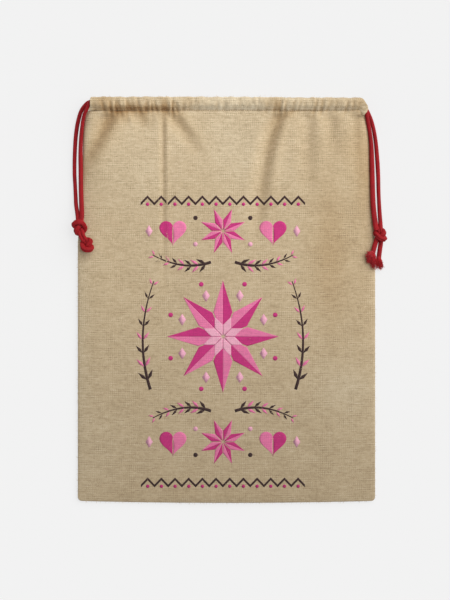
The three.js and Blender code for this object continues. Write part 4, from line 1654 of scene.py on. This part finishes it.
@dataclass
class LooseFibres:
    """The short jute fibres that stand out of the cloth along its edges and on its hem."""

    form: SackForm
    hem: HemCloth
    steps: int = 6
    radius: float = 0.17
    on_hem: int = 1300
    on_sides: int = 420
    on_bottom: int = 260
    on_front: int = 900

    def build(self) -> None:
        """Make and dress the fibres."""
        draw = np.random.default_rng(23)
        lines = [self.fibre(draw, root, np.array(way), share) for root, way, share in self.roots(draw)]
        radii = self.radius * np.linspace(1.0, 0.5, self.steps)
        obj = threads("loose_jute_fibres", np.array(lines), radii, 3)
        finish = ThreadFinish((176, 150, 110), (228, 208, 172), 600.0)
        finish_piece(obj, finish.material("jute_fibre"), "sack")

    def roots(self, draw: np.random.Generator) -> Iterator[tuple[Array, Place, float]]:
        """Choose each fibre's root, the way that it points and its share of the usual length."""
        form = self.form
        for _ in range(self.on_hem):
            root = self.hem.place(np.array([draw.uniform(-226.0, 226.0)]), draw.uniform(1.0, 26.0), 0.45)[0]
            yield root, (draw.normal(0.0, 1.0), draw.uniform(-0.4, 1.2), 0.6), 1.0
        for _ in range(self.on_sides):
            y = draw.uniform(form.bottom + 8.0, form.hem_line)
            side = draw.choice((-1.0, 1.0))
            bulge = float(form.bulge(np.array(y), Side(int(side))))
            edge = side * (float(form.side_edge(np.array(y))) + bulge - 0.4)
            root = np.array([edge, y, form.front_rim - draw.uniform(0.2, 1.5)])
            yield root, (side * 1.1, draw.normal(0.0, 0.8), 0.1), 1.0
        for _ in range(self.on_bottom):
            x = draw.uniform(-240.0, 240.0)
            root = np.array([x, float(form.bottom_edge(np.array(x))) + 0.4, form.front_rim - 0.6])
            yield root, (draw.normal(0.0, 0.8), -1.0, 0.1), 1.0
        for _ in range(self.on_front):
            x, y = draw.uniform(-232.0, 232.0), draw.uniform(-330.0, 312.0)
            root = form.front_points(np.array(x), np.array(y), 0.5)
            yield root, (draw.normal(0.0, 1.0), draw.normal(0.0, 1.0), 0.3), 0.6

    def fibre(self, draw: np.random.Generator, root: Array, way: Array, share: float) -> Array:
        """Grow one curved fibre from its root."""
        length = draw.uniform(1.2, 4.5) * share
        way = unit(way)
        side = unit(np.cross(way, draw.normal(0.0, 1.0, 3)))
        bend = draw.uniform(-0.5, 0.5) * length
        steps = np.linspace(0.0, 1.0, self.steps)[:, None]
        line = root + way * length * steps + side * bend * steps ** 2
        line[:, 2] = np.maximum(line[:, 2], 0.15)
        return line


# The cords


@dataclass
class Braid:
    """A round braided cord that is swept along a line."""

    diameter: float = 7.0
    step: float = 0.8
    sides: int = 28
    relief: float = 0.5
    finish: CordFinish = field(default_factory=CordFinish)

    def build(self, name: str, line: Array, squeeze: tuple[float | Array, float] = (1.0, 1.0),
              sides: tuple[Array, Array] | None = None) -> Piece:
        """Sweep the braid along a line.

        Args:
            name: The piece's name.
            line: The middle of the cord, in millimetres, in even steps.
            squeeze: How many times as wide as round, all along or at each step, and as thick the cord is.
            sides: The two directions square to the line at each step, or None to find them.

        Returns:
            The closed braided tube.
        """
        across, over = square_directions(line) if sides is None else sides
        wide = np.broadcast_to(squeeze[0], len(line))[:, None, None]
        along = distances(line)
        turn = np.arange(self.sides) / self.sides
        height = self.finish.relief(turn[None, :], along[:, None])
        radius = self.diameter / 2 - self.relief * (1.0 - height)
        angle = 2 * np.pi * turn
        sideways = across[:, None] * np.cos(angle)[:, None] * wide
        upwards = over[:, None] * (np.sin(angle) * squeeze[1])[:, None]
        rings = line[:, None] + radius[..., None] * (sideways + upwards)
        return loft(name, rings, along, math.pi * self.finish.diameter)


@dataclass(frozen=True)
class KnotShape:
    """The size, turn and place of one knot, in millimetres and degrees."""

    centre: Place
    thickness: float
    turn: float
    tilt: float
    above: float
    below: float
    flatness: float = 0.62
    first_side: Place = (1.0, 0.0, 0.0)
    last_side: Place = (1.0, 0.0, 0.0)


@dataclass
class TightKnot:
    """An overhand knot in two cords side by side, pulled tight by a small simulation of beads on a string.

    The string's thickness, that of both cords together, is the unit of length.
    """

    bead: float = 0.34
    reach: float = 3.6
    pull: float = 0.12
    rounds: int = 950
    sweeps: int = 6
    least_apart: int = 4
    push: float = 0.3
    ease: float = 0.05
    lane_share: float = 0.76
    lane_off: float = 0.25
    lane_squeeze: Pair = (0.8, 1.28)
    lane_sides: int = 24

    def loose(self) -> Array:
        """Lay the open knot, with an end above it and an end below."""
        turn = np.linspace(-2.15, 2.15, 300)
        deep, high = turn ** 3 - 3 * turn, turn ** 5 / 5 - 2 * turn
        lean = math.atan2(deep[-1] - deep[0], high[-1] - high[0])
        knot = np.column_stack([turn ** 4 - 4 * turn ** 2 + 2.0,
                                high * math.cos(lean) + deep * math.sin(lean),
                                deep * math.cos(lean) - high * math.sin(lean)])
        return even_steps(np.vstack([[0.0, -6.0, 0.0], knot, [0.0, 6.0, 0.0]]), self.bead)

    @cached_property
    def pulled(self) -> Array:
        """The string's line from its upper end to its lower one, once the knot is pulled tight."""
        beads = self.loose()
        for _ in range(self.rounds):
            beads[0, 1] -= self.pull
            beads[-1, 1] += self.pull
            for _ in range(self.sweeps):
                self.hold_spacing(beads)
                self.hold_apart(beads)
            beads[1:-1] += self.ease * ((beads[:-2] + beads[2:]) / 2 - beads[1:-1])
            while beads[1, 1] < -self.reach:
                beads = beads[1:]
            while beads[-2, 1] > self.reach:
                beads = beads[:-1]
        return beads[::-1].copy()

    def hold_spacing(self, beads: Array) -> None:
        """Move neighbouring beads back to their distance along the string."""
        for start in (0, 1):
            pairs = (len(beads) - start) // 2
            gap = beads[start + 1::2][:pairs] - beads[start::2][:pairs]
            length = np.linalg.norm(gap, axis=1)[:, None]
            move = gap * (0.5 * (length - self.bead) / length)
            beads[start::2][:pairs] += move
            beads[start + 1::2][:pairs] -= move

    def hold_apart(self, beads: Array) -> None:
        """Push stretches of the string out of each other."""
        first, second = np.triu_indices(len(beads), self.least_apart)
        gap = beads[first] - beads[second]
        length = np.linalg.norm(gap, axis=1) + 1e-9
        near = length < 1.0
        first, second, gap, length = first[near], second[near], gap[near], length[near]
        push = gap / length[:, None] * ((1.0 - length) * self.push)[:, None]
        np.add.at(beads, first, push)
        np.add.at(beads, second, -push)

    def build(self, name: str, shape: KnotShape) -> Piece:
        """Braid the two cords along the tight line, in the given size, turn and place."""
        line = self.pulled * shape.thickness
        line = line[(line[:, 1] < shape.above) & (line[:, 1] > -shape.below)]
        turn, tilt = math.radians(shape.turn), math.radians(shape.tilt)
        x = line[:, 0] * math.cos(turn) + line[:, 2] * math.sin(turn)
        z = line[:, 2] * math.cos(turn) - line[:, 0] * math.sin(turn)
        line = spline(np.column_stack([x * math.cos(tilt) - line[:, 1] * math.sin(tilt),
                                       x * math.sin(tilt) + line[:, 1] * math.cos(tilt), z]), 0.7)
        across, over = square_directions(line)
        starts, ends = (math.atan2(np.dot(side, over[at]), np.dot(side, across[at]))
                        for side, at in ((shape.first_side, 0), (shape.last_side, -1)))
        twist = (ends - starts + math.pi / 2) % math.pi - math.pi / 2
        angle = (starts + twist * np.linspace(0.0, 1.0, len(line)))[:, None]
        side = across * np.cos(angle) + over * np.sin(angle)
        rise = over * np.cos(angle) - across * np.sin(angle)
        braid = Braid(diameter=shape.thickness * self.lane_share, sides=self.lane_sides)
        lanes = [braid.build(f"{name}_lane_{number}", line + side * (sign * shape.thickness * self.lane_off),
                             self.lane_squeeze, (side, rise)) for number, sign in enumerate((-1.0, 1.0))]
        obj = joined(name, lanes)
        points = np.empty(len(obj.data.vertices) * 3)
        obj.data.vertices.foreach_get("co", points)
        points = points.reshape(-1, 3) * (1.0, 1.0, shape.flatness) + np.array(shape.centre) * MM
        obj.data.vertices.foreach_set("co", points.reshape(-1))
        obj.data.update()
        return obj


@dataclass
class Fray:
    """The loose fibres of a cord's cut end."""

    fibres: int = 320
    clumps: int = 11
    radius: float = 0.3
    steps: int = 8
    cord_radius: float = 3.2

    def build(self, name: str, route: Route, width: float, thickness: float, seed: int) -> Piece:
        """Spread fibres along a route, close together where they leave the cord.

        Args:
            name: The piece's name.
            route: The middle of the tuft, in millimetres.
            width: How wide the tuft spreads.
            thickness: How thick it is.
            seed: The start of its random draw.

        Returns:
            The tuft.
        """
        draw = np.random.default_rng(seed)
        line = spline(route, distances(np.asarray(route, float))[-1] / (self.steps * 4))
        across, over = square_directions(line)
        shares = np.linspace(0.0, 1.0, self.steps)
        half_size = np.array([width, thickness]) / 2
        lines = np.zeros((self.fibres, self.steps, 3))
        clumps = [(draw.uniform(0.0, 2 * math.pi), draw.uniform(-2.2, 2.2, 2), draw.uniform(0.75, 1.0))
                  for _ in range(self.clumps)]
        for number in range(self.fibres):
            clump_angle, clump_curl, clump_reach = clumps[number % self.clumps]
            angle = clump_angle + draw.normal(0.0, 0.5)
            off = math.sqrt(draw.uniform(0.0, 1.0))
            reach = draw.uniform(0.6, 1.05) * clump_reach * (1.0 - 0.15 * off)
            curl = clump_curl + draw.normal(0.0, 0.9, 2)
            for step, share in enumerate(shares):
                place = share * reach * (len(line) - 1)
                low = min(int(place), len(line) - 2)
                centre = line[low] + (line[low + 1] - line[low]) * (place - low)
                swell = self.cord_radius + (half_size - self.cord_radius) * share ** 0.7
                bend = np.sin(share * 2.6 + curl * 3.0) * curl * share * 1.3
                side = off * math.cos(angle) * swell[0] + bend[0]
                rise = off * math.sin(angle) * swell[1] + bend[1] * 0.6
                lines[number, step] = centre + across[low] * side + over[low] * rise
        lines[..., 2] = np.maximum(lines[..., 2], self.radius + 0.1)
        return threads(name, lines, self.radius * np.linspace(1.0, 0.45, self.steps), 3)


@dataclass(frozen=True)
class Strand:
    """A free stretch of cord, from where it leaves the mouth's end down to its knot."""

    name: str
    widths: tuple[float, ...]
    thickness: float
    route: tuple[Place, ...]


@dataclass
class Drawstring:
    """One cord of the mouth: its two runs in the tunnels, its two free strands and their knot."""

    side: Side
    lane: float
    strands: tuple[Strand, Strand]
    material: Material
    fibre: Material
    tight: TightKnot
    overhang: float = 3.8
    mouth_half: float = 228.0
    inside: float = 10.0
    run_overlap: float = 3.0
    loop_radius: float = 7.5
    loop_clearance: float = 0.3
    front_level: float = 20.0
    back_level: float = 5.0
    swing_half: float = 5.0
    swing_start: float = 0.6
    swing_end: float = 9.4
    braid: Braid = field(default_factory=Braid)

    @property
    def word(self) -> str:
        """The side's name in the names of nodes and bodies."""
        return self.side.name.lower()

    @property
    def pivot(self) -> Pair:
        """The place where the strands leave the mouth's end."""
        return self.side.value * (self.mouth_half + self.overhang), self.lane

    def placed(self, route: Route) -> Array:
        """Carry a route from its place by the pivot to its place in the frame."""
        return np.array(route, float) + (*self.pivot, 0.0)

    def build(self) -> None:
        """Make and dress the cord from its far loop to its knot."""
        self.runs()
        for strand, on_it in zip(self.strands, (self.ends(), [])):
            self.strand(strand, on_it)

    def runs(self) -> None:
        """Make the two straight runs in the tunnels and the loop at their far end."""
        out = self.side.value
        near = out * (self.mouth_half + self.overhang - self.inside + self.run_overlap)
        for word, level in (("front", self.front_level), ("back", self.back_level)):
            node = f"{self.word}_cord_{word}_run"
            low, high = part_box(node)
            far = (high[0] if self.side is Side.LEFT else low[0]) / MM
            line = even_steps(np.array([(near, self.lane, level), (far, self.lane, level)]), self.braid.step)
            obj = self.braid.build(node + "_braid", line)
            finish_piece(obj, self.material, f"{self.word}_drawstring", node)
        node = f"{self.word}_cord_far_loop"
        low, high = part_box(node)
        start = (low[0] if self.side is Side.LEFT else high[0]) / MM
        bend = -out * (self.mouth_half - self.loop_clearance - self.braid.diameter / 2 - self.loop_radius)
        middle = (self.front_level + self.back_level) / 2
        angle = np.linspace(math.pi / 2, -math.pi / 2, 24)
        arc = np.column_stack([bend - out * self.loop_radius * np.cos(angle), np.full(24, self.lane),
                               middle + self.loop_radius * np.sin(angle)])
        line = np.array([(start, self.lane, self.front_level), *arc, (start, self.lane, self.back_level)])
        obj = self.braid.build(node + "_braid", even_steps(line, self.braid.step))
        finish_piece(obj, self.material, "sack", node)

    def strand(self, strand: Strand, on_it: Sequence[Piece]) -> None:
        """Make one free strand, which curves down where it leaves the mouth."""
        level = strand.route[0][2]
        out = self.side.value
        lead = [(-out * self.inside, 0.0, level), (-out * 5.4, -0.1, level)]
        line = spline(self.placed([*lead, *strand.route]), self.braid.step)
        node = f"{self.word}_{strand.name}_strand"
        places = spread(0.0, 1.0, len(strand.widths))
        widths = np.interp(np.linspace(0.0, 1.0, len(line)), places, strand.widths)
        obj = self.braid.build(node + "_braid", line, (widths, strand.thickness))
        finish_piece(obj, self.material, None, node)
        x, y = self.pivot
        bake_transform(obj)
        float(distances(line)[-1]) * MM
        self.braid.diameter * MM
        list(on_it)

    def ends(self) -> list[Piece]:
        """Make what hangs below the strands, which each side does in its own way."""
        raise NotImplementedError

    def end_piece(self, obj: Piece, node: str, material: Material | None = None) -> Piece:
        """Dress a piece of the cord's end in place of its node."""
        return finish_piece(obj, material or self.material, f"{self.word}_cord_end", node)

    def knot(self, node: str, centre: Place, **shape: object) -> Piece:
        """Tie an overhand knot in both cords, a given way from the mouth's end."""
        place = tuple(self.placed([centre])[0].tolist())
        return self.end_piece(self.tight.build(node + "_braid", KnotShape(centre=place, **shape)), node)


@dataclass
class LeftDrawstring(Drawstring):
    """The cord that leaves the mouth on the left: its tail is doubled and ends in a second knot."""

    tail_diameter: float = 6.2
    tail_off: float = 2.7
    tail_route: tuple[Place, ...] = ((-15.0, -214.6, 16.8), (-14.0, -217.6, 16.6), (-10.9, -226.4, 16.8),
                                     (-7.4, -232.0, 17.2), (-5.4, -235.0, 17.4))

    def ends(self) -> list[Piece]:
        """Make the knot, the doubled tail and the knot at its end."""
        knot = self.knot("left_knot", (-14.2, -212.2, 16.8), thickness=8.2, turn=350.0, tilt=18.0, above=11.0,
                         below=14.0, first_side=(0.8, 0.0, 0.6), last_side=(0.9, 0.3, 0.1))
        line = spline(self.placed(self.tail_route), self.braid.step)
        across, _ = square_directions(line)
        lanes = [Braid(diameter=self.tail_diameter).build(f"tail_lane_{number}", line + across * off)
                 for number, off in enumerate((-self.tail_off, self.tail_off))]
        tail = self.end_piece(joined("left_tail_braid", lanes), "left_tail")
        end_knot = self.knot("left_end_knot", (-2.7, -242.6, 18.2), thickness=7.8, turn=176.0, tilt=10.0,
                             above=12.0, below=11.0, first_side=(0.9, 0.3, 0.0))
        return [knot, tail, end_knot]


@dataclass
class RightDrawstring(Drawstring):
    """The cord that leaves the mouth on the right: its two tails fray out below the knot."""

    tail_squeeze: Pair = (1.2, 0.9)

    def ends(self) -> list[Piece]:
        """Make the knot, the two tails and their frayed ends."""
        knot = self.knot("right_knot", (26.6, -216.8, 12.0), thickness=7.4, turn=198.0, tilt=4.0, above=12.0,
                         below=11.0, first_side=(1.0, 0.0, -0.3), last_side=(0.9, 0.0, -0.5))
        tails = {
            "inner": ((23.0, -217.5, 11.6), (20.5, -224.6, 11.2), (17.7, -234.0, 11.6), (15.2, -243.0, 12.6),
                      (13.9, -248.4, 13.0)),
            "outer": ((27.8, -220.0, 9.4), (27.9, -229.0, 7.4), (26.4, -242.0, 5.2), (25.2, -252.0, 4.2),
                      (25.0, -255.0, 4.0)),
        }
        frays = {
            "inner": ((((14.6, -245.6, 13.0), (8.6, -249.8, 13.8), (-1.2, -252.2, 13.2)), 10.0, 8.0, 5),
                      (((13.8, -247.4, 12.8), (10.4, -257.0, 13.4), (11.4, -270.0, 12.4)), 12.5, 9.0, 8),
                      (((14.8, -247.6, 12.4), (16.4, -261.0, 12.2), (18.4, -279.0, 11.2)), 11.5, 8.0, 11)),
            "outer": ((((25.0, -253.0, 4.2), (25.4, -262.0, 4.8), (29.4, -278.0, 5.0)), 10.0, 7.0, 6),),
        }
        pieces = []
        for word, route in tails.items():
            name = f"right_{word}_tail"
            line = spline(self.placed(route), self.braid.step)
            pieces.append(self.end_piece(self.braid.build(name + "_braid", line, self.tail_squeeze), name))
        for word, tufts in frays.items():
            name = f"right_{word}_fray"
            parts = [Fray().build(f"{name}_tuft_{seed}", self.placed(route), width, thickness, seed)
                     for route, width, thickness, seed in tufts]
            pieces.append(self.end_piece(joined(name + "_fibres", parts), name, self.fibre))
        return [knot, *pieces]


LEFT_LANE = 334.4
LEFT_STRANDS = (
    Strand("inner", (0.92, 0.94, 1.14, 1.14, 1.28), 0.92,
           ((3.4, -2.4, 20), (0.9, -7, 19.8), (-1.8, -12.4, 19), (-6, -21, 16.8), (-8.2, -28, 15),
            (-9.9, -36, 13.6), (-12.6, -60, 11), (-13.6, -86, 10.4), (-13.3, -112, 10.6), (-12.9, -148, 11),
            (-11.8, -176, 13.2), (-11.3, -194, 16), (-12.2, -201, 16.6))),
    Strand("outer", (1, 1.06, 1, 0.95, 1.1), 1.0,
           ((-1, -1.4, 5), (-6.6, -6.4, 4.9), (-12.9, -15.6, 4.4), (-18, -32, 3.9), (-21.8, -55, 3.8),
            (-24, -90, 3.8), (-24.3, -122, 3.8), (-23.4, -140, 3.9), (-22.2, -160, 6), (-21.2, -174, 8.8),
            (-18.8, -189, 12.2), (-17.4, -201, 14))),
)
RIGHT_LANE = 326.4
RIGHT_STRANDS = (
    Strand("inner", (0.94, 0.98, 1.22, 1.28, 1.36), 0.92,
           ((-0.4, -1.3, 20), (1.8, -7.4, 18.9), (4.9, -23.4, 16.4), (9.3, -46.4, 14), (11.8, -68, 12.2),
            (12.8, -95, 11), (13.5, -122, 10.6), (14, -145, 11), (14.9, -166, 11), (16.6, -184, 11.4),
            (19.4, -203, 12), (20.6, -209, 12.2))),
    Strand("outer", (0.98, 1, 1.1, 0.98, 1.14), 1.0,
           ((0.4, -1, 5), (4.7, -6.9, 4.8), (11, -20.4, 4.2), (15.7, -36.4, 3.8), (19.5, -58.4, 3.8),
            (22, -85.4, 3.8), (23.8, -116.4, 3.8), (24.6, -146.4, 3.8), (26, -176.4, 5), (27.4, -200, 8.4),
            (27.6, -208.6, 9.4))),
)


def main() -> None:
    """Build the sack in order and report each piece."""
    logging.basicConfig(level=logging.INFO, format="%(message)s")
    bpy.context.scene.view_settings.view_transform = "Standard"
    form = SackForm.from_frame()
    Studio().build()
    cord = CordFinish().material("red_cord")
    fibre = ThreadFinish((150, 10, 20), (226, 34, 46), 900.0).material("red_fibre")
    tight = TightKnot()
    LeftDrawstring(Side.LEFT, LEFT_LANE, LEFT_STRANDS, cord, fibre, tight).build()
    RightDrawstring(Side.RIGHT, RIGHT_LANE, RIGHT_STRANDS, cord, fibre, tight).build()
    body = SackBody(form)
    body.build()
    Sewing(form, body.front_hem, body.back_hem).build()
    PrintedDesign(form, JuteFinish()).build()
    LooseFibres(form, body.front_hem).build()


if __name__ == "__main__":
    main()
